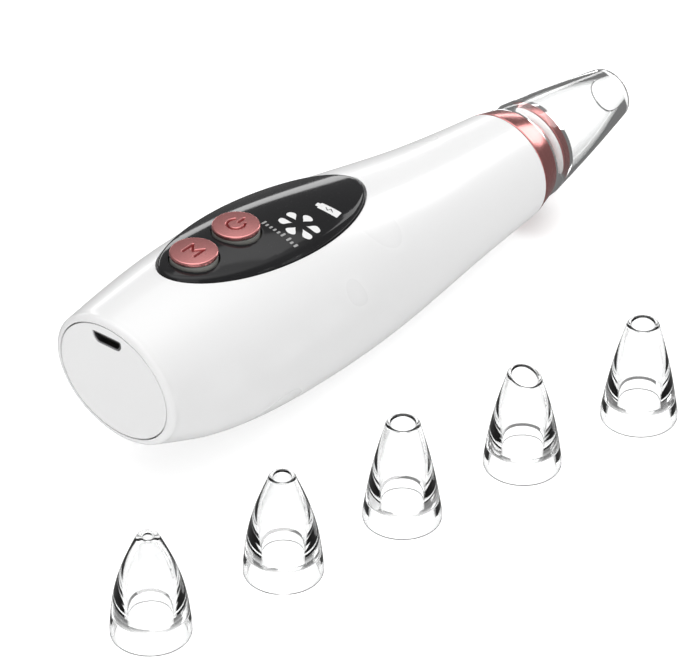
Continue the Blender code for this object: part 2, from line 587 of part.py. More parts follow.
def make_pump(looks):
    """Make the motor, its spinning crank, the diaphragm pump and the bracket."""
    origin = at(0, 0, NOSE_AXIS_HEIGHT)
    shaft_start = MOTOR_END - BEARING_DEPTH + GAP
    boss_end = MOTOR_START - MOTOR_BOSS_LENGTH
    turned("motor_can",
           [(boss_end, 0), (boss_end, MOTOR_BOSS_RADIUS), (MOTOR_START, MOTOR_BOSS_RADIUS),
            (MOTOR_START, MOTOR_RADIUS - MOTOR_EDGE), (MOTOR_START + MOTOR_EDGE, MOTOR_RADIUS),
            (MOTOR_END, MOTOR_RADIUS), (MOTOR_END, SHAFT_RADIUS + GAP),
            (MOTOR_END - BEARING_DEPTH, SHAFT_RADIUS + GAP), (MOTOR_END - BEARING_DEPTH, 0)],
           looks["steel"], origin, along="X")
    crank_low = HOUSING_START + PUMP_WALL + 2 * GAP
    crank_high = crank_low + CRANK_THICKNESS
    cylinder("motor_shaft", SHAFT_RADIUS, shaft_start, crank_low + SHAFT_SEAT, looks["steel"],
             origin, along="X", steps=16)
    crank = cylinder("pump_crank", CRANK_RADIUS - CRANK_OFFSET, crank_low, crank_high,
                     looks["black"], at(0, 0, NOSE_AXIS_HEIGHT), along="X", steps=24)
    change(crank, cylinder("guide_crank_pin", SHAFT_RADIUS, crank_high - CRANK_THICKNESS / 2,
                           crank_high + CRANK_PIN_LENGTH, looks["black"],
                           at(0, CRANK_OFFSET, NOSE_AXIS_HEIGHT), along="X", steps=16), "UNION")
    change(crank, cylinder("guide_crank_bore", SHAFT_RADIUS + GAP / 2, crank_low - OVER,
                           crank_low + SHAFT_SEAT + GAP / 2, looks["black"], origin, along="X",
                           steps=16))
    turned("pump_housing",
           [(HOUSING_START, SHAFT_RADIUS + 2 * GAP), (HOUSING_START, PUMP_RADIUS),
            (HOUSING_END, PUMP_RADIUS), (HOUSING_END, PUMP_RADIUS - PUMP_WALL),
            (HOUSING_START + PUMP_WALL, PUMP_RADIUS - PUMP_WALL),
            (HOUSING_START + PUMP_WALL, SHAFT_RADIUS + 2 * GAP)], looks["black"], origin,
           along="X")
    skin_low = HOUSING_END + GAP
    skin_high = skin_low + DIAPHRAGM_THICKNESS
    turned("pump_diaphragm",
           [(skin_low - DIAPHRAGM_BOSS_LENGTH, 0),
            (skin_low - DIAPHRAGM_BOSS_LENGTH, DIAPHRAGM_BOSS_RADIUS),
            (skin_low, DIAPHRAGM_BOSS_FOOT),
            (skin_low, PUMP_RADIUS - GAP), (skin_high, PUMP_RADIUS - GAP), (skin_high, 0)],
           looks["rubber"], origin, along="X")
    nipple_end = COVER_END + NIPPLE_LENGTH
    turned("pump_cover",
           [(COVER_START, NIPPLE_BORE), (COVER_START, PUMP_RADIUS),
            (COVER_END - PUMP_COVER_EDGE, PUMP_RADIUS),
            (COVER_END, PUMP_RADIUS - PUMP_COVER_EDGE),
            (COVER_END, NIPPLE_RADIUS), (nipple_end, NIPPLE_RADIUS),
            (nipple_end, NIPPLE_BORE)], looks["black"], origin, along="X")
    bracket = box("pump_bracket", at(BRACKET_START, -BLANK_HALF, BLANK_LOW),
                  at(BRACKET_START + BRACKET_LENGTH, BLANK_HALF, BRACKET_TOP), looks["grey"])
    change(bracket, body_solid("guide_bracket_room", -WALL - GAP, BRACKET_START - 4 * OVER,
                               BRACKET_START + BRACKET_LENGTH + 4 * OVER, looks["grey"], count=6),
           "INTERSECT")
    change(bracket, cylinder("guide_bracket_hole", MOTOR_RADIUS + GAP, BRACKET_START - 2 * OVER,
                             BRACKET_START + BRACKET_LENGTH + 2 * OVER, looks["grey"], origin,
                             along="X"))


# -------------------------------------------------------------------------- nose
BAND_START = BODY_LENGTH + GAP
BAND_FRONT = BAND_START + BAND_LENGTH
SPIGOT_BACK = BAND_START - BAND_PLUG_LENGTH - GAP
SPIGOT_FRONT = BAND_FRONT + SPIGOT_LENGTH
SOCKET_RADIUS = HEAD_RADIUS - HEAD_WALL


def make_nose(looks):
    """Make the nose band, the spigot with its sealing ring, the hose and the filter."""
    origin = at(0, 0, NOSE_AXIS_HEIGHT)
    plug_radius = radius_at(BODY_LENGTH) - WALL - GAP
    bore = SPIGOT_TUBE_RADIUS + GAP
    edge = NOSE_EDGE
    turned("nose_band",
           [(BAND_START - BAND_PLUG_LENGTH, bore), (BAND_START - BAND_PLUG_LENGTH, plug_radius),
            (BAND_START, plug_radius), (BAND_START, NOSE_RADIUS - edge),
            (BAND_START + edge, NOSE_RADIUS), (BAND_FRONT - edge, BAND_FRONT_RADIUS + edge),
            (BAND_FRONT, BAND_FRONT_RADIUS), (BAND_FRONT, bore)], looks["rose"], origin,
           along="X", steps=BODY_STEPS)
    ring_middle = BAND_FRONT + RING_PLACE
    ring_radius = SOCKET_RADIUS - GAP - RING_SECTION
    groove_floor = ring_radius - RING_SECTION - GAP
    groove_half = RING_SECTION + GAP
    tube_front = BAND_FRONT + GAP
    chamber_low = BAND_START
    nipple_start = SPIGOT_BACK - NIPPLE_LENGTH
    turned("nose_spigot",
           [(nipple_start, NIPPLE_BORE), (nipple_start, NIPPLE_RADIUS),
            (SPIGOT_BACK, NIPPLE_RADIUS), (SPIGOT_BACK, SPIGOT_TUBE_RADIUS),
            (tube_front, SPIGOT_TUBE_RADIUS), (tube_front, SPIGOT_RADIUS),
            (ring_middle - groove_half, SPIGOT_RADIUS),
            (ring_middle - groove_half, groove_floor),
            (ring_middle + groove_half, groove_floor),
            (ring_middle + groove_half, SPIGOT_RADIUS), (SPIGOT_FRONT - edge, SPIGOT_RADIUS),
            (SPIGOT_FRONT, SPIGOT_RADIUS - edge), (SPIGOT_FRONT, SPIGOT_BORE),
            (chamber_low, SPIGOT_BORE), (chamber_low, NIPPLE_BORE)], looks["rose"], origin,
           along="X")
    round_steps = 8
    section_points = []
    for k in range(round_steps):
        turn = 2 * math.pi * k / round_steps
        section_points.append((ring_middle + RING_SECTION * math.cos(turn),
                               ring_radius + RING_SECTION * math.sin(turn)))
    turned("spigot_seal_ring", section_points, looks["seal"], origin, along="X")
    cap_low = SPIGOT_FRONT + GAP
    cap_high = cap_low + FILTER_CAP_THICKNESS
    lip_low = SPIGOT_FRONT - FILTER_LIP_LENGTH
    lip_inside = SPIGOT_BORE - GAP - FILTER_LIP_WALL
    cylinder("filter_sponge", SPIGOT_BORE - GAP, chamber_low + GAP, lip_low - GAP,
             looks["sponge"], origin, along="X")
    filter_cap = turned("filter_cap",
                        [(cap_low, 0), (cap_low, lip_inside), (lip_low, lip_inside),
                         (lip_low, SPIGOT_BORE - GAP),
                         (cap_low, SPIGOT_BORE - GAP), (cap_low, FILTER_CAP_RADIUS),
                         (cap_high - edge, FILTER_CAP_RADIUS),
                         (cap_high, FILTER_CAP_RADIUS - edge), (cap_high, 0)],
                        looks["rose"], origin, along="X")
    for k in range(FILTER_RING_HOLES + 1):
        turn = 2 * math.pi / FILTER_RING_HOLES * k
        reach = FILTER_HOLE_REACH if k else 0.0
        place = at(0, reach * math.sin(turn), NOSE_AXIS_HEIGHT + reach * math.cos(turn))
        change(filter_cap, cylinder(f"guide_filter_hole_{k}", FILTER_HOLE_RADIUS,
                                    cap_low - OVER, cap_high + OVER, looks["rose"], place,
                                    along="X", steps=8))
    hose_bore = NIPPLE_RADIUS + GAP
    hose_low, hose_high = COVER_END + GAP, SPIGOT_BACK - GAP
    turned("suction_hose",
           [(hose_low, hose_bore), (hose_low, hose_bore + HOSE_WALL),
            (hose_high, hose_bore + HOSE_WALL), (hose_high, hose_bore)], looks["rubber"],
           origin, along="X", steps=24)


# -------------------------------------------------------------------- suction heads
@dataclass(frozen=True)
class Foot:
    """The lower part that a group of heads shares."""

    radius: float
    wall: float
    height: float
    socket_depth: float
    throat_radius: float
    skirt: float


@dataclass(frozen=True)
class Mouth:
    """What tells one head from another: its mouth, rim, swelling cone and slant."""

    radius: float
    rim: float
    belly: float
    tilt: float = 0.0


FITTED_FOOT = Foot(HEAD_RADIUS, HEAD_WALL, HEAD_HEIGHT, HEAD_SOCKET_DEPTH, HEAD_THROAT_RADIUS,
                   HEAD_SKIRT)
SPARE_FOOT = Foot(SPARE_RADIUS, SPARE_WALL, SPARE_HEIGHT, SPARE_SOCKET_DEPTH,
                  SPARE_THROAT_RADIUS, SPARE_SKIRT)
FITTED_MOUTH = Mouth(0.0046, 0.0019, 0.0002)
SPARE_MOUTHS = {
    "fine_point": Mouth(0.0010, 0.0015, 0.0013),
    "small_round": Mouth(0.0019, 0.0010, 0.0011),
    "wide_round": Mouth(0.0026, 0.0011, 0.0004),
    "slanted_oval": Mouth(0.0028, 0.0010, 0.0005, math.radians(14)),
    "medium_round": Mouth(0.0025, 0.0011, 0.0004),
}
SPARE_PLACES = {
    "fine_point": (-0.0313, -0.0368),
    "small_round": (0.0008, -0.0450),
    "wide_round": (0.0307, -0.0527),
    "slanted_oval": (0.0616, -0.0611),
    "medium_round": (0.0915, -0.0704),
}


def cone(low, high, first, last, belly, steps):
    """Return (height, radius) points of a cone that swells by belly half way up."""
    points = []
    for k in range(steps + 1):
        share = k / steps
        radius = blend(first, last, share) + belly * math.sin(math.pi * share)
        points.append((blend(low, high, share), radius))
    return points


def head_profile(foot, mouth):
    """Return a head's outline: outer cone, round rim, inner cone, socket."""
    rim_radius = mouth.radius + mouth.rim
    crown = foot.height - HEAD_RIM_ROUND
    outer = cone(foot.skirt, crown, foot.radius, rim_radius, mouth.belly, 5)
    rim = [(foot.height, rim_radius - HEAD_RIM_ROUND)]
    if mouth.rim > 2 * HEAD_RIM_ROUND:
        rim.append((foot.height, mouth.radius + HEAD_RIM_ROUND / 2))
    inner = cone(foot.socket_depth, crown, foot.throat_radius, mouth.radius,
                 INNER_BELLY + INNER_BELLY_SHARE * mouth.belly, 4)
    socket_radius = foot.radius - foot.wall
    socket = [(foot.socket_depth, socket_radius), (0, socket_radius)]
    return [(0, foot.radius)] + outer + rim + inner[::-1] + socket


def make_head(name, foot, mouth, looks, place, along="Z"):
    """Make one clear suction head, standing up or lying on the nose."""
    head = turned(name, head_profile(foot, mouth), looks["clear"], place, along,
                  steps=HEAD_STEPS)
    if mouth.tilt:
        reach = 2 * foot.radius
        cutter = box("guide_tilt_" + name, (-reach, -reach, 0), (reach, reach, 2 * reach),
                     looks["clear"])
        drop = math.tan(mouth.tilt) * (mouth.radius + mouth.rim) + HEAD_RIM_ROUND
        lift = Matrix.Translation(Vector(place) + Vector((0, 0, foot.height - drop)))
        turn = Matrix.Rotation(mouth.tilt, 4, "X")
        cutter.matrix_world = lift @ turn @ Matrix.Translation((0, 0, reach))
        change(head, cutter)


def main():
    """Build every piece."""
    for old in list(bpy.data.objects):
        bpy.data.objects.remove(old)
    looks = {
        "white": material("gloss white plastic", (0.90, 0.90, 0.89), 0.22),
        "panel": material("smoked panel", (0.03, 0.03, 0.035), 0.10),
        "rose": material("rose gold", (0.80, 0.50, 0.47), 0.28, 0.9),
        "grey": material("grey plastic", (0.35, 0.35, 0.33), 0.45),
        "black": material("black plastic", (0.03, 0.03, 0.03), 0.5),
        "board": material("circuit board", (0.02, 0.18, 0.09), 0.45),
        "steel": material("steel", (0.65, 0.65, 0.66), 0.3, 1.0),
        "cell": material("battery sleeve", (0.05, 0.22, 0.45), 0.4),
        "lamp": material("lamp plastic", (0.90, 0.90, 0.85), 0.35),
        "rubber": material("soft rubber", (0.20, 0.20, 0.20), 0.7),
        "seal": material("white silicone", (0.92, 0.92, 0.90), 0.5),
        "sponge": material("filter sponge", (0.85, 0.85, 0.82), 0.95),
        "clear": material("clear acrylic", (0.93, 0.95, 0.96), 0.05, 0.0, 0.35),
    }
    make_shell(looks)
    make_tail_cap(looks)
    make_panel(looks)
    for name, x in BUTTON_XS.items():
        make_button(name, x, looks)
    make_boards(looks)
    make_chassis(looks)
    make_port(looks)
    make_pump(looks)
    make_nose(looks)
    make_head("suction_head", FITTED_FOOT, FITTED_MOUTH, looks,
              at(BAND_FRONT + GAP, 0, NOSE_AXIS_HEIGHT), along="X")
    for k, (kind, (x, y)) in enumerate(SPARE_PLACES.items(), 1):
        make_head(f"spare_head_{k}", SPARE_FOOT, SPARE_MOUTHS[kind], looks, at(x, y, 0))


if __name__ == "__main__":
    main()
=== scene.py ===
"""Looks of the blackhead vacuum extractor: fine skins, finishes, floor, lights and camera."""
import logging
import math
from dataclasses import dataclass
from enum import Enum
from typing import Sequence

import bmesh
import bpy
import numpy as np
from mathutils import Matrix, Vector
from mathutils.geometry import delaunay_2d_cdt


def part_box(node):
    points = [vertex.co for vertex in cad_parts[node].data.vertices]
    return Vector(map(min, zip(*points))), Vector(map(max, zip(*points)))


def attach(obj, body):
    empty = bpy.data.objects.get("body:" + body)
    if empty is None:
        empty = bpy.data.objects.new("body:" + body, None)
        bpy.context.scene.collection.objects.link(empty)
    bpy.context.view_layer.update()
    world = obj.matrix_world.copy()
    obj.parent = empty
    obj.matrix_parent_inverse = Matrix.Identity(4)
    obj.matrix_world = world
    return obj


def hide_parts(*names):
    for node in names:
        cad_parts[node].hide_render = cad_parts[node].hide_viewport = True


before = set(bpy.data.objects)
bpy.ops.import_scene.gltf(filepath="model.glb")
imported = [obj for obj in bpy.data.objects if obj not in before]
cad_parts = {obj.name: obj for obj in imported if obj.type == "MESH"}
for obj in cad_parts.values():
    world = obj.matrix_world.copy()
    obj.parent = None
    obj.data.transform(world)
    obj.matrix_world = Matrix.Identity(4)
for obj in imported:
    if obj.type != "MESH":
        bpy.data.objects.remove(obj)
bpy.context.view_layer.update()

log = logging.getLogger("extractor")

GAP = 0.0003            # clearance between pieces that touch
WELD = 1e-7             # points closer than this are one point
TAU = 2 * math.pi
Colour = tuple[float, float, float]


# ============================================================ mixing materials
class Value:
    """A number socket on which Python arithmetic adds Math nodes."""

    def __init__(self, recipe: "Recipe", socket: bpy.types.NodeSocket) -> None:
        """Keep the socket and the recipe that it belongs to."""
        self.recipe = recipe
        self.socket = socket

    def maths(self, operation: str, *operands: "Value | float", clamp: bool = False) -> "Value":
        """Add one Math node.

        Args:
            operation: the node's operation.
            operands: its values, in order.
            clamp: keep the result from 0 to 1.

        Returns:
            The node's result.
        """
        made = self.recipe.node("ShaderNodeMath", {"operation": operation, "use_clamp": clamp},
                                dict(enumerate(operands)))
        return Value(self.recipe, made.outputs[0])

    def __add__(self, other: "Value | float") -> "Value":
        """Return self + other."""
        return self.maths("ADD", self, other)

    def __sub__(self, other: "Value | float") -> "Value":
        """Return self - other."""
        return self.maths("SUBTRACT", self, other)

    def __rsub__(self, other: float) -> "Value":
        """Return other - self."""
        return self.maths("SUBTRACT", other, self)

    def __mul__(self, other: "Value | float") -> "Value":
        """Return self * other."""
        return self.maths("MULTIPLY", self, other)

    __radd__ = __add__
    __rmul__ = __mul__

    def above(self, edge: float, softness: float) -> "Value":
        """Return 0 below edge and 1 a softness above it, with a straight rise between."""
        return self.maths("MULTIPLY", self - edge, 1 / softness, clamp=True)


class Recipe:
    """One material being mixed, with its Principled shader."""

    def __init__(self, name: str) -> None:
        """Start a material of this name."""
        self.material = bpy.data.materials.new(name)
        self.material.use_nodes = True
        self.tree = self.material.node_tree
        self.shader = self.tree.nodes["Principled BSDF"]

    def node(self, kind: str, settings: dict | None = None,
             inputs: dict | None = None) -> bpy.types.Node:
        """Add a node.

        Args:
            kind: the node's type.
            settings: properties that are set first; stops fills a colour ramp.
            inputs: numbers, colours, Values or sockets by input name or number.

        Returns:
            The node.
        """
        made = self.tree.nodes.new(kind)
        for name, value in (settings or {}).items():
            if name == "stops":
                self.fill_ramp(made.color_ramp, value)
            else:
                setattr(made, name, value)
        for name, value in (inputs or {}).items():
            self.feed(made.inputs[name], value)
        return made

    def feed(self, socket: bpy.types.NodeSocket, value: object) -> None:
        """Link a Value or a socket into an input, or set the input to a constant."""
        if isinstance(value, Value):
            self.tree.links.new(value.socket, socket)
        elif isinstance(value, bpy.types.NodeSocket):
            self.tree.links.new(value, socket)
        elif isinstance(value, tuple) and socket.type == "RGBA":
            socket.default_value = (*value, 1.0)
        else:
            socket.default_value = value

    def fill_ramp(self, ramp: bpy.types.ColorRamp, stops: Sequence[tuple[float, Colour]]) -> None:
        """Set a colour ramp's stops from (place, colour) pairs."""
        while len(ramp.elements) < len(stops):
            ramp.elements.new(0.5)
        for element, (place, colour) in zip(ramp.elements, stops):
            element.position = place
            element.color = (*colour, 1.0)

    def place(self, stretch: Colour = (1.0, 1.0, 1.0)) -> bpy.types.NodeSocket:
        """Return object coordinates, stretched."""
        where = self.node("ShaderNodeTexCoord").outputs["Object"]
        if stretch == (1.0, 1.0, 1.0):
            return where
        mapping = self.node("ShaderNodeMapping", {}, {"Vector": where, "Scale": stretch})
        return mapping.outputs["Vector"]

    def noise(self, scale: float, detail: float = 2.0,
              stretch: Colour = (1.0, 1.0, 1.0)) -> Value:
        """Return smooth noise, about 0.5 on average, with scale features per metre."""
        made = self.node("ShaderNodeTexNoise", {}, {
            "Vector": self.place(stretch), "Scale": scale, "Detail": detail, "Roughness": 0.5})
        return Value(self, made.outputs[0])

    def cells(self, scale: float) -> Value:
        """Return the distance pattern of scattered cells."""
        made = self.node("ShaderNodeTexVoronoi", {"feature": "F1"},
                         {"Vector": self.place(), "Scale": scale})
        return Value(self, made.outputs["Distance"])

    def marked(self, name: str) -> Value:
        """Return a number that the mesh carries at each point, 0 where it has none."""
        made = self.node("ShaderNodeAttribute", {"attribute_name": name})
        return Value(self, made.outputs["Fac"])

    def blend(self, first: object, second: object, share: "Value | float") -> bpy.types.NodeSocket:
        """Return a colour between two colours."""
        made = self.node("ShaderNodeMix", {"data_type": "RGBA"}, {0: share, 6: first, 7: second})
        return made.outputs[2]

    def bump(self, height: Value, distance: float) -> bpy.types.NodeSocket:
        """Return a normal raised by height times distance in metres."""
        inputs = {"Height": height, "Distance": distance, "Strength": 1.0}
        return self.node("ShaderNodeBump", {}, inputs).outputs["Normal"]

    def done(self, **inputs: object) -> bpy.types.Material:
        """Feed the shader's inputs, named with _ for a space, and return the material."""
        for name, value in inputs.items():
            self.feed(self.shader.inputs[name.replace("_", " ")], value)
        return self.material


# =================================================================== finishes
@dataclass(frozen=True)
class Finish:
    """A finish that a piece is dressed in, and the record's slot that it stands for."""

    title: str
    slot: str
    colour: Colour
    roughness: float = 0.4

    def mix(self) -> bpy.types.Material:
        """Mix the material."""
        raise NotImplementedError

    def material(self) -> bpy.types.Material:
        """Return the material, mixed on first use."""
        return bpy.data.materials.get(self.title) or self.mix()


@dataclass(frozen=True)
class MouldedPlastic(Finish):
    """Plain moulded plastic: faint flow clouds, fine orange peel, uneven polish."""

    cloud: float = 0.012
    grain_depth: float = 0.0000008
    coat: float = 0.0

    def mix(self) -> bpy.types.Material:
        """Mix clouded colour, uneven roughness and a shallow peel."""
        recipe = Recipe(self.title)
        darker = tuple(part * (1 - self.cloud) for part in self.colour)
        clouds = recipe.noise(38, 3)
        polish = recipe.noise(30, 1)
        peel = recipe.noise(1200, 1)
        recipe.shader.inputs["Coat Roughness"].default_value = 0.06
        return recipe.done(
            Base_Color=recipe.blend(darker, self.colour, clouds),
            Roughness=polish * 0.04 + (self.roughness - 0.02),
            Coat_Weight=self.coat, Normal=recipe.bump(peel, self.grain_depth))


@dataclass(frozen=True)
class SmokedWindow(Finish):
    """Dark gloss window: nearly black, a few pale dust specks, hair-fine wipe marks."""

    def mix(self) -> bpy.types.Material:
        """Mix the dark tint with specks, and wipe marks in the polish."""
        recipe = Recipe(self.title)
        specks = 1 - recipe.cells(900).above(0.035, 0.02)
        wipes = recipe.noise(120, 4, (1.0, 9.0, 1.0))
        recipe.shader.inputs["IOR"].default_value = 1.34
        tint = recipe.blend(self.colour, (0.022, 0.022, 0.023), recipe.noise(30, 2))
        return recipe.done(
            Base_Color=recipe.blend(tint, (0.20, 0.20, 0.20), specks * 0.35),
            Roughness=wipes * 0.05 + self.roughness,
            Normal=recipe.bump(recipe.noise(900, 1), 0.000001))


@dataclass(frozen=True)
class RosePlate(Finish):
    """Rose-gold plating: satin, finely lined along one way, darkened by painted shade where it is
    engraved.
    """

    lines: Colour = (1.0, 1.0, 1.0)
    # Painted shade: the dark red that is laid into the engraved strokes.
    engraved: Colour = (0.22, 0.022, 0.022)
    metallic: float = 0.95

    def mix(self) -> bpy.types.Material:
        """Mix lined plating; the mesh attribute mark darkens engraved strokes with painted shade
        and roughens them.
        """
        recipe = Recipe(self.title)
        lining = recipe.noise(700, 4, self.lines)
        clouds = recipe.noise(90, 2)
        pale = tuple(min(1.0, part * 1.06) for part in self.colour)
        plated = recipe.blend(self.colour, pale, clouds)
        # Painted shade: where the mark is high, the colour turns to the dark red of the engraving's
        # shade.
        mark = recipe.marked("mark")
        return recipe.done(
            Base_Color=recipe.blend(plated, self.engraved, mark),
            Metallic=self.metallic,
            Roughness=lining * 0.12 + (self.roughness - 0.06) + mark * 0.2,
            Normal=recipe.bump(lining, 0.0000025))


@dataclass(frozen=True)
class ClearAcrylic(Finish):
    """Clear polished acrylic: greyer towards its edges by painted shade, faint flow and handling
    haze.
    """

    edge_width: float = 0.5
    edge_painted_shade: Colour = (0.62, 0.63, 0.63)

    def mix(self) -> bpy.types.Material:
        """Mix a clear refracting body with slightly uneven polish, and painted shade that greys its
        colour where the surface turns away from the view.
        """
        recipe = Recipe(self.title)
        haze = recipe.noise(160, 3)
        flow = recipe.noise(90, 1, (1.0, 1.0, 0.3))
        for name, value in (("Transmission Weight", 1.0), ("IOR", 1.49)):
            recipe.shader.inputs[name].default_value = value
        # Painted shade: the colour greys towards the edge colour where the surface turns away from
        # the view, standing in for dark streaks seen through the walls.
        facing = recipe.node("ShaderNodeLayerWeight", {}, {"Blend": self.edge_width})
        grazing = Value(recipe, facing.outputs["Facing"]).above(0.30, 0.60)
        body = recipe.blend(self.colour, (1.0, 1.0, 1.0), haze)
        return recipe.done(
            Base_Color=recipe.blend(body, self.edge_painted_shade, grazing),
            Roughness=haze * 0.02 + self.roughness,
            Normal=recipe.bump(flow, 0.000012))


@dataclass(frozen=True)
class Metal(Finish):
    """Plain metal with fine turning lines and a little stain."""

    lines: Colour = (12.0, 1.0, 1.0)
    metallic: float = 1.0

    def mix(self) -> bpy.types.Material:
        """Mix lined metal with stained patches."""
        recipe = Recipe(self.title)
        lining = recipe.noise(420, 4, self.lines)
        stain = recipe.noise(70, 3)
        dull = tuple(part * 0.8 for part in self.colour)
        return recipe.done(
            Base_Color=recipe.blend(dull, self.colour, stain), Metallic=self.metallic,
            Roughness=lining * 0.2 + (self.roughness - 0.1),
            Normal=recipe.bump(lining, 0.000004))


@dataclass(frozen=True)
class Foam(Finish):
    """Open filter foam: pores in depth, darkened in colour by painted shade."""

    def mix(self) -> bpy.types.Material:
        """Mix pores from scattered cells, with painted shade in them."""
        recipe = Recipe(self.title)
        pores = recipe.cells(2600).above(0.15, 0.4)
        # Painted shade: the pores get a darker copy of the foam's colour.
        shade = tuple(part * 0.45 for part in self.colour)
        return recipe.done(Base_Color=recipe.blend(shade, self.colour, pores),
                           Roughness=self.roughness, Normal=recipe.bump(pores, 0.0002))


@dataclass(frozen=True)
class CircuitBoard(Finish):
    """Solder mask over copper runs, with tinned dots."""

    def mix(self) -> bpy.types.Material:
        """Mix runs from bricks and dots from scattered cells."""
        recipe = Recipe(self.title)
        bricks = recipe.node("ShaderNodeTexBrick", {"offset": 0.5}, {
            "Vector": recipe.place(), "Scale": 160.0, "Mortar Size": 0.03,
            "Color1": (0.0, 0.0, 0.0), "Color2": (0.0, 0.0, 0.0), "Mortar": (1.0, 1.0, 1.0)})
        runs = Value(recipe, bricks.outputs["Fac"])
        dots = 1 - recipe.cells(420).above(0.16, 0.03)
        lighter = tuple(part * 1.9 for part in self.colour)
        masked = recipe.blend(self.colour, lighter, runs)
        return recipe.done(Base_Color=recipe.blend(masked, (0.75, 0.75, 0.72), dots),
                           Roughness=self.roughness, Normal=recipe.bump(runs, 0.00003))


@dataclass(frozen=True)
class SoftRubber(Finish):
    """Matt rubber or silicone: fine grain, faint dust."""

    def mix(self) -> bpy.types.Material:
        """Mix grained rubber with a little dust."""
        recipe = Recipe(self.title)
        dust = recipe.noise(300, 4)
        pale = tuple(min(1.0, part * 1.15 + 0.02) for part in self.colour)
        return recipe.done(Base_Color=recipe.blend(self.colour, pale, dust),
                           Roughness=dust * 0.15 + (self.roughness - 0.08),
                           Normal=recipe.bump(recipe.noise(4000, 1), 0.000008))


@dataclass(frozen=True)
class PrintedMark(Finish):
    """White lamp print on the window: slightly uneven ink, faintly lit from behind."""

    glow: float = 0.35

    def mix(self) -> bpy.types.Material:
        """Mix uneven ink with a faint glow."""
        recipe = Recipe(self.title)
        uneven = recipe.noise(1500, 3)
        thin = tuple(part * 0.88 for part in self.colour)
        ink = recipe.blend(thin, self.colour, uneven)
        recipe.shader.inputs["Emission Strength"].default_value = self.glow
        return recipe.done(Base_Color=ink, Emission_Color=ink, Roughness=self.roughness)


WHITE = MouldedPlastic("white moulding", "white_plastic", (0.90, 0.90, 0.90), 0.28, coat=0.2)
WINDOW = SmokedWindow("smoked window", "smoked_panel", (0.012, 0.012, 0.013), 0.05)
ROSE = RosePlate("rose plating turned", "rose_gold", (0.68, 0.28, 0.27), 0.20,
                 lines=(14.0, 1.0, 1.0))
ROSE_BUTTON = RosePlate("rose plating satin", "rose_gold", (0.66, 0.265, 0.26), 0.24,
                        lines=(1.0, 10.0, 1.0), metallic=0.9)
GREY = MouldedPlastic("grey moulding", "grey_plastic", (0.27, 0.27, 0.25), 0.42,
                      cloud=0.12, grain_depth=0.00001)
BLACK = MouldedPlastic("black moulding", "black_plastic", (0.022, 0.022, 0.023), 0.45,
                       cloud=0.3, grain_depth=0.00001)
CLEAR = ClearAcrylic("clear acrylic", "clear_acrylic", (0.985, 0.99, 0.99), 0.0)
STEEL = Metal("plated steel", "steel", (0.62, 0.62, 0.63), 0.32)
GOLD = Metal("contact gold", "steel", (0.85, 0.66, 0.33), 0.3)
SLEEVE = MouldedPlastic("shrink sleeve", "cell_sleeve", (0.03, 0.16, 0.40), 0.35, cloud=0.2,
                        grain_depth=0.00002, coat=0.3)
LAMP = MouldedPlastic("milky lamp plastic", "lamp_plastic", (0.85, 0.85, 0.80), 0.35)
BOARD = CircuitBoard("green board", "circuit_board", (0.015, 0.12, 0.05), 0.4)
RUBBER = SoftRubber("dark rubber", "dark_rubber", (0.05, 0.05, 0.05), 0.7)
SILICONE = SoftRubber("white silicone", "white_silicone", (0.88, 0.88, 0.87), 0.5)
FOAM = Foam("filter foam", "filter_foam", (0.80, 0.80, 0.77), 0.95)
INK = PrintedMark("white print", "lamp_plastic", (0.80, 0.80, 0.80), 0.4, 0.12)
GREY_INK = PrintedMark("grey print", "lamp_plastic", (0.36, 0.36, 0.36), 0.4, 0.05)
DARK_INK = PrintedMark("dark print", "smoked_panel", (0.02, 0.02, 0.02), 0.4, 0.0)


# ============================================================ making surfaces
class Axis(Enum):
    """The way that a turned piece lies."""

    ALONG_BODY = "x"
    UPRIGHT = "z"


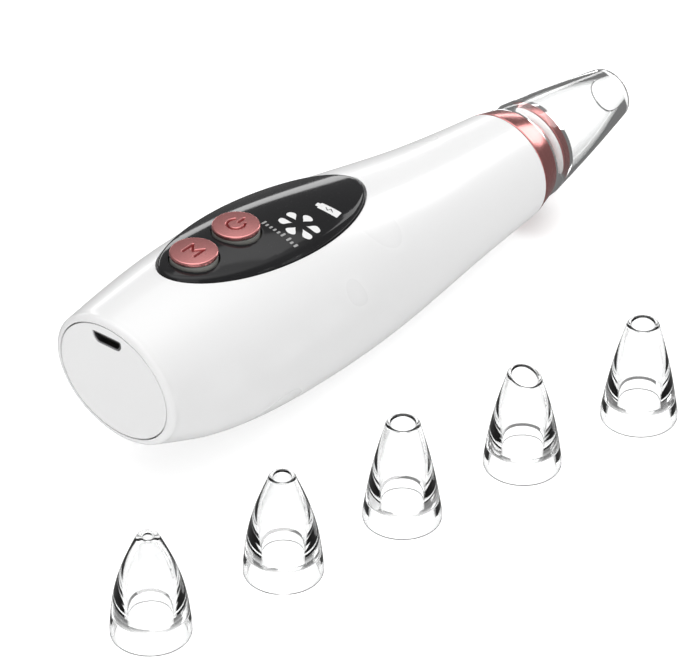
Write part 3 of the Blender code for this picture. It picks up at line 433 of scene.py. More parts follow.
class Skin:
    """Grids of points gathered into one mesh and welded where they meet."""

    def __init__(self) -> None:
        """Start with no points."""
        self.points: list[np.ndarray] = []
        self.quads: list[np.ndarray] = []
        self.triangles: list[np.ndarray] = []
        self.marks: list[np.ndarray] = []
        self.count = 0

    def add(self, grid: np.ndarray, round_rows: bool = False, round_columns: bool = False,
            mark: np.ndarray | None = None) -> "Skin":
        """Add quads between neighbours of a grid.

        Args:
            grid: points as (rows, columns, 3).
            round_rows: join the last row to the first.
            round_columns: join the last column to the first.
            mark: a number for each point, kept as the attribute mark.

        Returns:
            This skin.
        """
        rows, columns = grid.shape[:2]
        index = self.count + np.arange(rows * columns).reshape(rows, columns)
        if round_rows:
            index = np.vstack([index, index[:1]])
        if round_columns:
            index = np.hstack([index, index[:, :1]])
        corners = (index[:-1, :-1], index[:-1, 1:], index[1:, 1:], index[1:, :-1])
        self.quads.append(np.stack(corners, -1).reshape(-1, 4))
        self.keep(grid.reshape(-1, 3), mark)
        return self

    def add_triangles(self, points: np.ndarray, triangles: np.ndarray) -> "Skin":
        """Add loose triangles given by the indices of their points."""
        self.triangles.append(triangles + self.count)
        self.keep(points, None)
        return self

    def keep(self, points: np.ndarray, mark: np.ndarray | None) -> None:
        """Store points with their marks."""
        self.points.append(points)
        self.marks.append(np.zeros(len(points)) if mark is None else mark.reshape(-1))
        self.count += len(points)

    def welded(self) -> tuple[np.ndarray, list[np.ndarray], np.ndarray]:
        """Return the points with doubles merged, the faces on them and the marks.

        A quad with two corners on one point becomes a triangle; one with fewer than
        three different corners is dropped.
        """
        points = np.concatenate(self.points)
        _, first, target = np.unique(np.round(points / WELD).astype(np.int64), axis=0,
                                     return_index=True, return_inverse=True)
        target = target.reshape(-1)
        faces = []
        if self.quads:
            quads = target[np.concatenate(self.quads)]
            same = quads == np.roll(quads, -1, axis=1)
            whole = (~same.any(1)) & (quads[:, 0] != quads[:, 2]) & (quads[:, 1] != quads[:, 3])
            faces.append(quads[whole])
            folded = quads[same.sum(1) == 1]
            drop = same[same.sum(1) == 1].argmax(1)
            keep = (drop[:, None] + np.array([1, 2, 3])) % 4
            faces.append(np.take_along_axis(folded, keep, axis=1))
        if self.triangles:
            faces.append(target[np.concatenate(self.triangles)])
        return points[first], faces, np.concatenate(self.marks)[first]

    def piece(self, name: str, finish: Finish, body: str, stands_for: Sequence[str] = (),
              closed: bool = True, sharp: float = 40.0) -> bpy.types.Object:
        """Make the object.

        Args:
            name: the piece's name.
            finish: what it is dressed in.
            body: the body that it rides on.
            stands_for: CAD nodes that it replaces.
            closed: turn the faces outward; an open piece is turned upward.
            sharp: edges sharper than this many degrees stay crisp.

        Returns:
            The object.
        """
        points, faces, marks = self.welded()
        mesh = bpy.data.meshes.new(name)
        mesh.from_pydata(points, [], [face for group in faces for face in group.tolist()])
        if marks.any():
            mesh.attributes.new("mark", "FLOAT", "POINT").data.foreach_set("value", marks)
        tool = bmesh.new()
        tool.from_mesh(mesh)
        bmesh.ops.recalc_face_normals(tool, faces=tool.faces)
        if not closed and sum(face.normal.z for face in tool.faces) < 0:
            bmesh.ops.reverse_faces(tool, faces=tool.faces)
        tool.to_mesh(mesh)
        tool.free()
        mesh.shade_smooth()
        mesh.set_sharp_from_angle(angle=math.radians(sharp))
        mesh.materials.append(finish.material())
        made = bpy.data.objects.new(name, mesh)
        bpy.context.scene.collection.objects.link(made)
        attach(made, body)
        if stands_for:
            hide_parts(*stands_for)
        log.info("%s: %d points, %d faces", name, len(points), sum(map(len, faces)))
        return made


def rounded(corners: Sequence[tuple[float, float, float]], steps: int = 6) -> np.ndarray:
    """Return a closed outline with its corners rounded.

    Each rounded corner is an arc that touches both sides; its middle lies on the corner's
    bisector, radius over sine of the half angle away.

    Args:
        corners: (along, radius, rounding) of each corner, in order.
        steps: points on each arc, less one.

    Returns:
        Points as (count, 2).
    """
    points = []
    count = len(corners)
    for k, (along, radius, rounding) in enumerate(corners):
        corner = np.array([along, radius])
        if rounding <= 0:
            points.append(corner[None])
            continue
        ways = [np.array(corners[(k + side) % count][:2]) - corner for side in (-1, 1)]
        ways = [way / np.linalg.norm(way) for way in ways]
        half = math.acos(np.clip(ways[0] @ ways[1], -1, 1)) / 2
        bisector = (ways[0] + ways[1]) / np.linalg.norm(ways[0] + ways[1])
        middle = corner + bisector * rounding / math.sin(half)
        start = corner + ways[0] * rounding / math.tan(half) - middle
        end = corner + ways[1] * rounding / math.tan(half) - middle
        sweep = math.pi - 2 * half
        share = np.linspace(0, 1, steps + 1)[:, None]
        arc = (np.sin((1 - share) * sweep) * start + np.sin(share * sweep) * end)
        points.append(middle + arc / math.sin(sweep))
    return np.concatenate(points)


def turned_grid(profile: np.ndarray, centre: Sequence[float], axis: Axis,
                steps: int = 128) -> np.ndarray:
    """Return a profile carried round an axis.

    Point = centre + along times the axis + radius times (cosine of the turn times one
    side way + sine of the turn times the other).

    Args:
        profile: (along, radius) points.
        centre: a point on the axis, from which along is counted.
        axis: the way the axis lies.
        steps: columns of the grid.

    Returns:
        Points as (profile points, steps, 3).
    """
    turn = np.linspace(0, TAU, steps, endpoint=False)
    along, radius = profile[:, :1], profile[:, 1:]
    side = radius * np.cos(turn)
    other = radius * np.sin(turn)
    along = np.broadcast_to(along, side.shape)
    order = (along, side, other) if axis is Axis.ALONG_BODY else (side, other, along)
    return np.stack(order, -1) + np.array(centre)


def turned(name: str, corners: Sequence[tuple[float, float, float]], centre: Sequence[float],
           axis: Axis, finish: Finish, body: str, stands_for: Sequence[str] = (),
           steps: int = 128) -> bpy.types.Object:
    """Make a turned piece from a closed outline with rounded corners."""
    grid = turned_grid(rounded(corners), centre, axis, steps)
    return Skin().add(grid, True, True).piece(name, finish, body, stands_for)


def dress(finish: Finish, *nodes: str) -> None:
    """Dress CAD nodes that stay as they are in a finish."""
    for name in nodes:
        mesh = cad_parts[name].data
        mesh.materials.clear()
        mesh.materials.append(finish.material())
        log.info("%s: dressed in %s", name, finish.title)


# ============================================================== the body's form
class NaturalSpline:
    """The natural cubic curve through given points."""

    def __init__(self, knots: Sequence[float], values: Sequence[float]) -> None:
        """Solve for the second derivatives at the knots."""
        self.knots = np.array(knots, float)
        self.values = np.array(values, float)
        step = np.diff(self.knots)
        slope = np.diff(self.values) / step
        count = len(self.knots)
        system = np.eye(count)
        inner = np.arange(1, count - 1)
        system[inner, inner - 1] = step[:-1]
        system[inner, inner] = 2 * (step[:-1] + step[1:])
        system[inner, inner + 1] = step[1:]
        right = np.zeros(count)
        right[1:-1] = 6 * np.diff(slope)
        self.bend = np.linalg.solve(system, right)

    def __call__(self, x: np.ndarray | float) -> np.ndarray:
        """Return the curve's value at x."""
        x = np.asarray(x, float)
        i = np.clip(np.searchsorted(self.knots, x) - 1, 0, len(self.knots) - 2)
        left, gone = self.knots[i + 1] - x, x - self.knots[i]
        width = left + gone
        bend, after = self.bend[i], self.bend[i + 1]
        return ((bend * left ** 3 + after * gone ** 3) / (6 * width)
                + (self.values[i] / width - bend * width / 6) * left
                + (self.values[i + 1] / width - after * width / 6) * gone)


@dataclass(frozen=True)
class BodyForm:
    """The round body: radius and axis height along it, from the tail face on."""

    length: float = 0.1336
    widest: float = 0.0217
    tail: float = 0.0160
    nose: float = 0.0136
    rise: float = 0.0133
    nose_height: float = 0.0150
    rest: float = 0.0720
    slant: float = math.radians(7.3)
    slant_length: float = 0.016
    tail_round: float = 0.0013
    knots: tuple[float, ...] = (0, 0.15, 0.36, 0.60, 0.80, 1)
    climb: tuple[float, ...] = (1, 0.78, 0.585, 0.315, 0.125, 0)

    def radius(self, x: np.ndarray | float) -> np.ndarray:
        """Return the body's radius at x."""
        front = self.widest - self.nose
        radii = (self.tail, self.tail + 0.70 * (self.widest - self.tail), self.widest,
                 self.nose + 0.73 * front, self.nose + 0.31 * front, self.nose)
        return NaturalSpline([k * self.length for k in self.knots], radii)(x)

    def axis(self, x: np.ndarray | float) -> np.ndarray:
        """Return the height of the body's axis at x."""
        heights = [self.nose_height + self.rise * share for share in self.climb]
        return NaturalSpline([k * self.length for k in self.knots], heights)(x)

    def at(self, x: np.ndarray | float, y: np.ndarray | float, z: np.ndarray | float) -> np.ndarray:
        """Return frame points from places counted from the tail face."""
        return np.stack(np.broadcast_arrays(np.asarray(x) - self.rest, y, z), -1)

    def around(self, x: np.ndarray, radius: np.ndarray, turn: np.ndarray) -> np.ndarray:
        """Return points on sections at x: turn is counted from straight up.

        The section leans back by the tail's slant, which dies out along the body, and
        nothing reaches below the flat that the body rests on.
        """
        lean = math.tan(self.slant) * np.clip(1 - x / self.slant_length, 0, None)
        up = radius * np.cos(turn)
        height = np.maximum(self.axis(x) + up, 0.0)
        return self.at(x - lean * up, radius * np.sin(turn), height)

    def skin(self, x: np.ndarray, y: np.ndarray, offset: float = 0.0) -> np.ndarray:
        """Return the height of the upper skin, moved outward by offset."""
        return self.axis(x) + np.sqrt((self.radius(x) + offset) ** 2 - y ** 2)


@dataclass(frozen=True)
class PanelForm:
    """The oval window: its outline in plan and the height of its face."""

    body: BodyForm = BodyForm()
    middle: float = 0.0490
    half_length: float = 0.0314
    half_width: float = 0.0126
    proud: float = 0.0004
    cross: float = 0.026
    seat: float = 0.0015
    ledge: float = 0.0016

    def plan(self, turn: np.ndarray, grow: float = 0.0) -> tuple[np.ndarray, np.ndarray]:
        """Return the outline's plan at a turn, grown by an amount; turn 0 is the tail end."""
        return (self.middle - (self.half_length + grow) * np.cos(turn),
                (self.half_width + grow) * np.sin(turn))

    def face(self, x: np.ndarray, y: np.ndarray) -> np.ndarray:
        """Return the height of the window's face."""
        return self.body.axis(x) + self.body.radius(x) + self.proud - y ** 2 / (2 * self.cross)

    def underside(self, x: np.ndarray, y: np.ndarray) -> np.ndarray:
        """Return the height of the window's underside, a gap above its seat."""
        return self.body.skin(x, y, GAP - self.seat)


BODY = BodyForm()
PANEL = PanelForm()


# ============================================================== body and tail
@dataclass
class Sleeve:
    """The white outer sleeve with its rounded tail rim and the window's seat."""

    wall: float = 0.0022
    rear: float = 0.0021
    rim_end: float = 0.000026
    rim_turn: float = 0.05
    lip: float = 0.00018
    columns: int = 176
    tail_rows: int = 10
    before_rows: int = 14
    oval_rows: int = 84
    after_rows: int = 46

    def stations(self, grow: float) -> tuple[np.ndarray, np.ndarray]:
        """Return x of the sections and the half width in plan of the seat there."""
        turn = np.linspace(0, math.pi, self.oval_rows)
        oval_x, oval_y = PANEL.plan(turn, grow)
        before = np.linspace(BODY.tail_round, oval_x[0], self.before_rows, endpoint=False)
        after = np.linspace(oval_x[-1], BODY.length, self.after_rows + 1)[1:]
        x = np.concatenate([before, oval_x, after])
        opening = np.concatenate([np.zeros(len(before)), oval_y, np.zeros(len(after))])
        opening[len(before)] = opening[len(before) + self.oval_rows - 1] = 0.0
        return x, opening

    def wrap(self, x: np.ndarray, radius: np.ndarray, opening: np.ndarray) -> np.ndarray:
        """Return the grid that runs from one side of the opening round to the other."""
        start = np.arcsin(np.clip(opening / radius, 0, 1))[:, None]
        share = np.linspace(0, 1, self.columns)[None]
        turn = start + share * (TAU - 2 * start)
        return BODY.around(x[:, None], radius[:, None], turn)

    def rim_rows(self) -> tuple[np.ndarray, np.ndarray]:
        """Return x and radius of the rounded tail rim, from its inner edge outward."""
        fillet = BODY.tail_round
        x = fillet * (1 - np.sin(np.linspace(math.pi / 2, self.rim_turn, self.tail_rows)))
        rise = np.sqrt(np.maximum(fillet ** 2 - (fillet - x) ** 2, 0))
        return x, BODY.radius(x) - fillet + rise + self.rim_end

    def build(self) -> None:
        """Make the sleeve: outer grid, inner grid and the strips that join them."""
        x, opening = self.stations(GAP + self.lip)
        rim_x, rim_radius = self.rim_rows()
        closed = np.zeros(self.tail_rows)
        outer = self.wrap(np.concatenate([rim_x, x]),
                          np.concatenate([rim_radius, BODY.radius(x)]),
                          np.concatenate([closed, opening]))
        inner_x, inner_open = self.stations(-PANEL.ledge)
        inner_x = np.concatenate([closed + self.rear, np.maximum(inner_x, self.rear)])
        inner = self.wrap(inner_x, BODY.radius(inner_x) - self.wall,
                          np.concatenate([closed, inner_open]))
        skin = Skin().add(outer).add(inner[::-1])
        seat_radius = np.array(BODY.tail - BODY.tail_round)
        seat_turn = np.linspace(0, TAU, self.columns)
        bore = [BODY.around(np.array(depth), seat_radius, seat_turn)
                for depth in (self.rim_end * 8, self.rear)]
        skin.add(np.stack([outer[0], *bore, inner[0]]))
        skin.add(np.stack([inner[-1], outer[-1]]))
        for side in (0, -1):
            skin.add(self.seat_strip(outer, inner, side))
        skin.piece("body_sleeve", WHITE, "handpiece", ["main_shell"])

    def seat_strip(self, outer: np.ndarray, inner: np.ndarray, side: int) -> np.ndarray:
        """Return the strip from the outer edge of the opening, over its lip and ledge, inside."""
        first = self.tail_rows + self.before_rows
        rows = slice(first, first + self.oval_rows)
        turn = np.linspace(0, math.pi, self.oval_rows)
        sign = 1.0 if side == 0 else -1.0
        strip = [outer[rows, side]]
        bends = np.linspace(0.25, 1, 4) * math.pi / 2
        steps = [(GAP + self.lip * (1 - math.sin(bend)), 0.0, self.lip * (1 - math.cos(bend)))
                 for bend in bends]
        steps += [(GAP, -PANEL.seat, 0.0), (-PANEL.ledge, -PANEL.seat, 0.0)]
        for grow, offset, drop in steps:
            x, y = PANEL.plan(turn, grow)
            y[0] = y[-1] = 0.0
            strip.append(BODY.at(x, sign * y, BODY.skin(x, y, offset) - drop))
        strip.append(inner[rows, side])
        return np.stack(strip, 1)


def convex_reach(turn: np.ndarray, sides: Sequence[tuple[float, float]],
                 softness: float = 14.0) -> np.ndarray:
    """Return how far a round-cornered convex outline reaches at each turn.

    Each side is a straight line with an outward way (degrees) and a distance; the reach
    is the soft minimum of the distances along the ray, a power sum of their inverses.
    """
    inverse = np.zeros_like(turn)
    for way, distance in sides:
        facing = np.cos(turn - math.radians(way))
        inverse = inverse + np.clip(facing / distance, 0, None) ** softness
    return inverse ** (-1 / softness)


@dataclass
class TailEnd:
    """The slanted tail cap with its charging port, metal rim, tongue and contacts."""

    port_height: float = 0.0109
    port_width: float = 0.0075
    port_tall: float = 0.0026
    chamfer: float = 0.002993
    chamfer_way: float = 40.0
    thickness: float = 0.0019
    rim_wall: float = 0.00032
    rim_front: float = 0.00005
    rim_round: float = 0.0001
    rim_back: float = 0.0054
    rim_floor: float = 0.0050
    contacts: int = 5
    contact_half: float = 0.00017
    contact_proud: float = 0.00005
    edge: float = 0.00016
    columns: int = 240

    def port_sides(self, grow: float = 0.0) -> list[tuple[float, float]]:
        """Return the port's outline: flat top, flat bottom, two ends, two lower chamfers."""
        half, tall = self.port_width / 2 + grow, self.port_tall / 2 + grow
        return [(90, tall), (-90, tall), (0, half), (180, half),
                (-self.chamfer_way, self.chamfer + grow),
                (180 + self.chamfer_way, self.chamfer + grow)]

    def place(self, y: np.ndarray, rise: np.ndarray, depth: float) -> np.ndarray:
        """Return points in the slanted face, rise above its middle, at a depth behind it."""
        lean = math.tan(BODY.slant) * max(0.0, 1 - depth / BODY.slant_length)
        return BODY.at(depth - lean * rise, y, BODY.axis(depth) + rise)

    def rows(self, reach: np.ndarray, turn: np.ndarray, depth: float) -> np.ndarray:
        """Return one ring round the port's middle."""
        return self.place(reach * np.cos(turn), self.port_height + reach * np.sin(turn), depth)

    def build(self) -> None:
        """Make the cap as one closed grid round the port, then what is in the port."""
        turn = np.linspace(0, TAU, self.columns, endpoint=False)
        radius = BODY.tail - BODY.tail_round - GAP
        along = -self.port_height * np.sin(turn)
        to_edge = along + np.sqrt(along ** 2 + radius ** 2 - self.port_height ** 2)
        hole = convex_reach(turn, self.port_sides(GAP / 2))
        bevel = self.edge * 0.3
        rings = [(hole, self.thickness), (hole, self.edge), (hole + bevel, bevel)]
        rings += [(hole + (to_edge - hole) * share, 0.0)
                  for share in np.concatenate([[0.02], np.linspace(0.06, 0.94, 16), [0.985]])]
        rings += [(to_edge - bevel, bevel), (to_edge, self.edge), (to_edge, self.thickness)]
        grid = np.stack([self.rows(reach, turn, depth) for reach, depth in rings])
        Skin().add(grid, True, True).piece("tail_cap_disc", WHITE, "handpiece", ["tail_cap"])
        self.build_port(turn)

    def build_port(self, turn: np.ndarray) -> None:
        """Make the metal rim round the port and the contacts on its tongue."""
        outer = convex_reach(turn, self.port_sides())
        inner = convex_reach(turn, self.port_sides(-self.rim_wall))
        middle = (outer + inner) / 2
        centre = np.zeros_like(turn)
        shoulder = self.rim_front + self.rim_round
        rings = [(centre, self.rim_back), (outer, self.rim_back), (outer, shoulder),
                 (middle, self.rim_front), (inner, shoulder), (inner, self.rim_floor),
                 (centre, self.rim_floor)]
        grid = np.stack([self.rows(reach, turn, depth) for reach, depth in rings])
        Skin().add(grid, False, True).piece("port_rim", STEEL, "handpiece", ["port_shell"])
        low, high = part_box("port_tongue")
        pitch = (high.y - low.y) / (self.contacts + 1)
        across = np.array([-1, -1, 1, 1]) * self.contact_half
        proud = np.array([0, 1, 1, 0]) * self.contact_proud
        skin = Skin()
        for k in range(self.contacts):
            y = low.y + pitch * (k + 1)
            bar = [np.stack([np.full(4, x), y + across, low.z - proud], -1)
                   for x in (low.x + 0.0003, high.x - 0.0008)]
            skin.add(np.stack(bar), False, True)
        skin.piece("port_contacts", GOLD, "handpiece", closed=False)
        dress(BLACK, "port_tongue")


# ============================================================== control panel
@dataclass
class Window:
    """The dark domed window with rounded edge and a hole round each button."""

    edge: float = 0.0010
    spacing: float = 0.0007
    outline_points: int = 220
    hole_points: int = 96
    hole_radius: float = 0.0055
    hole_edge: float = 0.00012
    buttons: tuple[float, ...] = (0.0264, 0.0401)

    def flat_net(self) -> tuple[np.ndarray, np.ndarray]:
        """Return plan points and triangles.

        The net is a triangulation of rows of points set half a step apart, bounded by the
        oval and the two circles.
        """
        turn = np.linspace(0, TAU, self.outline_points, endpoint=False)
        oval = np.stack(PANEL.plan(turn, -self.edge), -1)
        around = np.linspace(0, TAU, self.hole_points, endpoint=False)
        circle = np.stack([np.cos(around), np.sin(around)], -1)
        reach = self.hole_radius + self.hole_edge
        holes = [np.array([x, 0.0]) + reach * circle for x in self.buttons]
        rows = self.spacing * math.sqrt(3) / 2
        half_length, half_width = PANEL.half_length, PANEL.half_width
        level = np.arange(-half_width, half_width, rows)
        column = np.arange(-half_length, half_length, self.spacing)
        grid_x, grid_y = np.meshgrid(column, level)
        grid_x = grid_x + np.where(np.arange(len(level)) % 2, self.spacing / 2, 0)[:, None]
        net = np.stack([grid_x.ravel() + PANEL.middle, grid_y.ravel()], -1)
        clear = self.spacing * 0.55
        margin = self.edge + clear
        inside = (((net[:, 0] - PANEL.middle) / (half_length - margin)) ** 2
                  + (net[:, 1] / (half_width - margin)) ** 2) < 1
        for x in self.buttons:
            inside &= np.hypot(net[:, 0] - x, net[:, 1]) > reach + clear
        points = np.concatenate([oval, *holes, net[inside]])
        loops, start = [], 0
        for loop in (oval, *holes):
            index = start + np.arange(len(loop))
            loops += list(zip(index.tolist(), np.roll(index, -1).tolist()))
            start += len(loop)
        made = delaunay_2d_cdt([Vector(point) for point in points], loops, [], 1, 1e-9)
        flat = np.array([tuple(point) for point in made[0]])
        triangles = np.array(made[2])
        middle = flat[triangles].mean(1)
        kept = np.ones(len(triangles), bool)
        for x in self.buttons:
            kept &= np.hypot(middle[:, 0] - x, middle[:, 1]) > reach * 0.999
        return flat, triangles[kept]

    def build(self) -> None:
        """Make the window: domed face, rounded edge, side, underside and hole walls."""
        flat, triangles = self.flat_net()
        x, y = flat[:, 0], flat[:, 1]
        skin = Skin().add_triangles(BODY.at(x, y, PANEL.face(x, y)), triangles)
        skin.add_triangles(BODY.at(x, y, PANEL.underside(x, y)), triangles[:, ::-1])
        turn = np.linspace(0, TAU, self.outline_points, endpoint=False)
        rings = []
        for bend in np.linspace(0, math.pi / 2, 9):
            x, y = PANEL.plan(turn, self.edge * (math.sin(bend) - 1))
            rings.append(BODY.at(x, y, PANEL.face(x, y) - self.edge * (1 - math.cos(bend))))
        for grow in (0.0, -self.edge):
            x, y = PANEL.plan(turn, grow)
            rings.append(BODY.at(x, y, PANEL.underside(x, y)))
        skin.add(np.stack(rings), False, True)
        around = np.linspace(0, TAU, self.hole_points, endpoint=False)
        for middle in self.buttons:
            rows = []
            for bend in np.linspace(0, math.pi / 2, 5):
                reach = self.hole_radius + self.hole_edge * (1 - math.sin(bend))
                x, y = middle + reach * np.cos(around), reach * np.sin(around)
                drop = self.hole_edge * (1 - math.cos(bend))
                rows.append(BODY.at(x, y, PANEL.face(x, y) - drop))
            for reach in (self.hole_radius, self.hole_radius + self.hole_edge):
                x, y = middle + reach * np.cos(around), reach * np.sin(around)
                rows.append(BODY.at(x, y, PANEL.underside(x, y)))
            skin.add(np.stack(rows), False, True)
        skin.piece("smoked_window", WINDOW, "handpiece", ["panel_window"], sharp=60)


@dataclass
class PanelMarks:
    """White prints on the window: a ring of petals, a cell mark and two rows of dashes."""

    petals_at: tuple[float, float] = (0.0527, -0.0070)
    petal_count: int = 6
    petal_reach: tuple[float, float] = (0.0015, 0.0045)
    petal_half: float = 0.00112
    petal_turn: float = math.radians(8)
    lift: float = 0.00004
    cell_at: tuple[float, float] = (0.0631, -0.0068)
    cell_turn: float = math.radians(-75)
    cell_size: tuple[float, float] = (0.0047, 0.0026)
    tip_out: float = 0.0026
    tip_size: tuple[float, float] = (0.0009, 0.0015)
    flash_half: tuple[float, float] = (0.0010, 0.0005)
    flash_width: float = 0.0004
    bars_from: float = 0.0460
    bar_width: float = 0.0005
    first_bars: tuple[float, ...] = (0.0015, 0.0010, 0.0010, 0.0010, 0.0010, 0.0015)
    first_row: tuple[float, float] = (-0.0022, -0.00105)
    second_bars: tuple[float, ...] = (0.0015, 0.0010, 0.0013)
    second_row: tuple[float, float] = (-0.0090, -0.00100)

    def lay(self, name: str, x: np.ndarray, y: np.ndarray, finish: Finish = INK,
            layers: float = 1.0) -> None:
        """Make one print from a plan grid, laid on the window's face."""
        grid = BODY.at(x, y, PANEL.face(x, y) + self.lift * layers)
        Skin().add(grid).piece(name, finish, "handpiece", closed=False)

    def petals(self) -> None:
        """Make the petals: each as wide as a sine that swells towards its outer end."""
        share = np.linspace(0, 1, 25)[:, None]
        across = np.linspace(-1, 1, 13)[None]
        inner, outer = self.petal_reach
        reach = inner + (outer - inner) * share
        swell = np.clip(np.sin(math.pi * share ** 1.9), 0, None) ** 0.7
        side = across * self.petal_half * swell
        for k in range(self.petal_count):
            turn = TAU * k / self.petal_count + self.petal_turn
            x = self.petals_at[0] + reach * math.cos(turn) - side * math.sin(turn)
            y = self.petals_at[1] + reach * math.sin(turn) + side * math.cos(turn)
            self.lay(f"petal_print_{k + 1}", x, y)

    def block(self, name: str, middle: tuple[float, float], size: tuple[float, float],
              turn: float, rounding: float, finish: Finish = INK) -> None:
        """Make a round-cornered block print: a square grid pushed to a soft box outline."""
        u, v = np.meshgrid(np.linspace(-1, 1, 15), np.linspace(-1, 1, 11), indexing="ij")
        shrink = 1 / (1 + 0.5 * (np.abs(u) * np.abs(v)) ** rounding) ** (1 / rounding)
        along, across = u * shrink * size[0] / 2, v * shrink * size[1] / 2
        x = middle[0] + along * math.cos(turn) - across * math.sin(turn)
        y = middle[1] + along * math.sin(turn) + across * math.cos(turn)
        self.lay(name, x, y, finish)

    def zigzag(self, name: str, middle: tuple[float, float], half: tuple[float, float],
               width: float, turn: float) -> None:
        """Make a flash of three strokes: a triangle wave with a soft width at its ends."""
        share = np.linspace(-1, 1, 31)
        wave = np.interp(share, [-1, -0.2, 0.2, 1], [0.7, -1, 1, -0.7]) * half[1]
        breadth = width / 2 * np.sqrt(np.clip(1.02 - share ** 2, 0, None))
        along = np.stack([share * half[0]] * 2, 1)
        across = np.stack([wave - breadth, wave + breadth], 1)
        x = middle[0] + along * math.cos(turn) - across * math.sin(turn)
        y = middle[1] + along * math.sin(turn) + across * math.cos(turn)
        self.lay(name, x, y, DARK_INK, 2.0)

    def build(self) -> None:
        """Make all the prints."""
        self.petals()
        (x, y), turn = self.cell_at, self.cell_turn
        tip = (x - self.tip_out * math.cos(turn), y - self.tip_out * math.sin(turn))
        self.block("cell_print", (x, y), self.cell_size, turn, 16.0)
        self.block("cell_print_tip", tip, self.tip_size, turn, 16.0)
        self.zigzag("cell_print_flash", (x, y), self.flash_half, self.flash_width, turn)
        self.dashes("first_bar", self.first_bars, *self.first_row)
        self.dashes("second_bar", self.second_bars, *self.second_row)

    def dashes(self, name: str, lengths: Sequence[float], start: float, pitch: float) -> None:
        """Make a row of dashes, each standing on the line bars_from."""
        for k, tall in enumerate(lengths):
            self.block(f"{name}_{k + 1}", (self.bars_from + tall / 2, start + pitch * k),
                       (tall, self.bar_width), 0.0, 4.0, GREY_INK)


class ButtonMark(Enum):
    """What is engraved on a button."""

    MODE = "mode"
    POWER = "power"


def stroke_distance(x: np.ndarray, y: np.ndarray,
                    strokes: Sequence[tuple[tuple[float, float], tuple[float, float]]]
                    ) -> np.ndarray:
    """Return each point's distance to the nearest straight stroke."""
    best = np.full(x.shape, 1.0)
    for (x0, y0), (x1, y1) in strokes:
        dx, dy = x1 - x0, y1 - y0
        share = np.clip(((x - x0) * dx + (y - y0) * dy) / (dx * dx + dy * dy), 0, 1)
        best = np.minimum(best, np.hypot(x - x0 - share * dx, y - y0 - share * dy))
    return best


@dataclass
class PushButton:
    """A round rose-gold button with an engraved mark on a grey skirt."""

    mark: ButtonMark
    radius: float = 0.0052
    round_edge: float = 0.00035
    dome: float = 0.00010
    engraving: float = 0.00025
    stroke: float = 0.00030
    cap_tall: float = 0.0009
    ring_reach: float = 0.0019
    ring_gap: float = math.radians(38)
    bar: tuple[float, float] = (0.0009, 0.0027)
    letter_half: float = 0.0016
    stem: float = 0.0016
    flange: float = 0.0060
    flange_tall: float = 0.0008
    flange_seat: float = -0.0012
    flange_drop: float = 0.0014
    skirt_inset: float = 0.00006
    fine: int = 150

    def strokes(self, x: np.ndarray, y: np.ndarray) -> np.ndarray:
        """Return the distance to the mark; its up is +x and its right is -y."""
        if self.mark is ButtonMark.POWER:
            ring = np.abs(np.hypot(x, y) - self.ring_reach)
            ring = np.where(np.abs(np.arctan2(y, x)) < self.ring_gap, 1.0, ring)
            low, high = self.bar
            return np.minimum(ring, stroke_distance(x, y, [((low, 0), (high, 0))]))
        half = self.letter_half
        corners = [(-half, half), (half, half), (-half * 0.25, 0), (half, -half), (-half, -half)]
        return stroke_distance(x, y, list(zip(corners, corners[1:])))

    def build(self) -> None:
        """Make the cap with its engraved face, and the skirt under it."""
        name = self.mark.value
        low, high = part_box(f"{name}_button_cap")
        middle = np.array([(low.x + high.x) / 2, (low.y + high.y) / 2])
        side = np.linspace(-1, 1, self.fine)
        u, v = np.meshgrid(side, side, indexing="ij")
        flat = self.radius - self.round_edge
        x, y = u * np.sqrt(1 - v ** 2 / 2) * flat, v * np.sqrt(1 - u ** 2 / 2) * flat
        depth = np.clip(1.5 - self.strokes(x, y) / self.stroke, 0, 1)
        cut = depth ** 2 * (3 - 2 * depth)
        sag = self.dome * (x ** 2 + y ** 2) / flat ** 2
        z = high.z - sag - cut * self.engraving
        face = np.stack([x + middle[0], y + middle[1], z], -1)
        border = np.concatenate([face[:, 0], face[-1, 1:], face[-2::-1, -1], face[0, -2:0:-1]])
        way = border[:, :2] - middle
        way = way / np.linalg.norm(way, axis=1, keepdims=True)
        rows = [border]
        bottom = high.z - self.cap_tall
        for bend in np.linspace(0, math.pi / 2, 7)[1:]:
            reach = flat + self.round_edge * math.sin(bend)
            drop = self.dome + self.round_edge * (1 - math.cos(bend))
            rows.append(np.column_stack([middle + way * reach,
                                         np.full(len(way), high.z - drop)]))
        for reach in (self.radius, 0.0):
            rows.append(np.column_stack([middle + way * reach, np.full(len(way), bottom)]))
        skin = Skin().add(face, mark=cut).add(np.stack(rows), False, True)
        skin.piece(f"{name}_cap", ROSE_BUTTON, f"{name}_button", [f"{name}_button_cap"])
        low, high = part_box(f"{name}_button_skirt")
        seat = BODY.skin(middle[0] + BODY.rest, self.radius, self.flange_seat)
        flange_low = seat - self.flange_drop
        flange_top = flange_low + self.flange_tall
        neck = self.radius - self.skirt_inset
        outline = [(low.z, 0.0, 0), (low.z, self.stem, 0.0002), (flange_low, self.stem, 0),
                   (flange_low, self.flange, 0.0001), (flange_top, self.flange, 0.0001),
                   (flange_top, neck, 0), (high.z, neck, 0.0001), (high.z, 0.0, 0)]
        turned(f"{name}_skirt", outline, (*middle, 0.0), Axis.UPRIGHT, GREY, f"{name}_button",
               [f"{name}_button_skirt"])


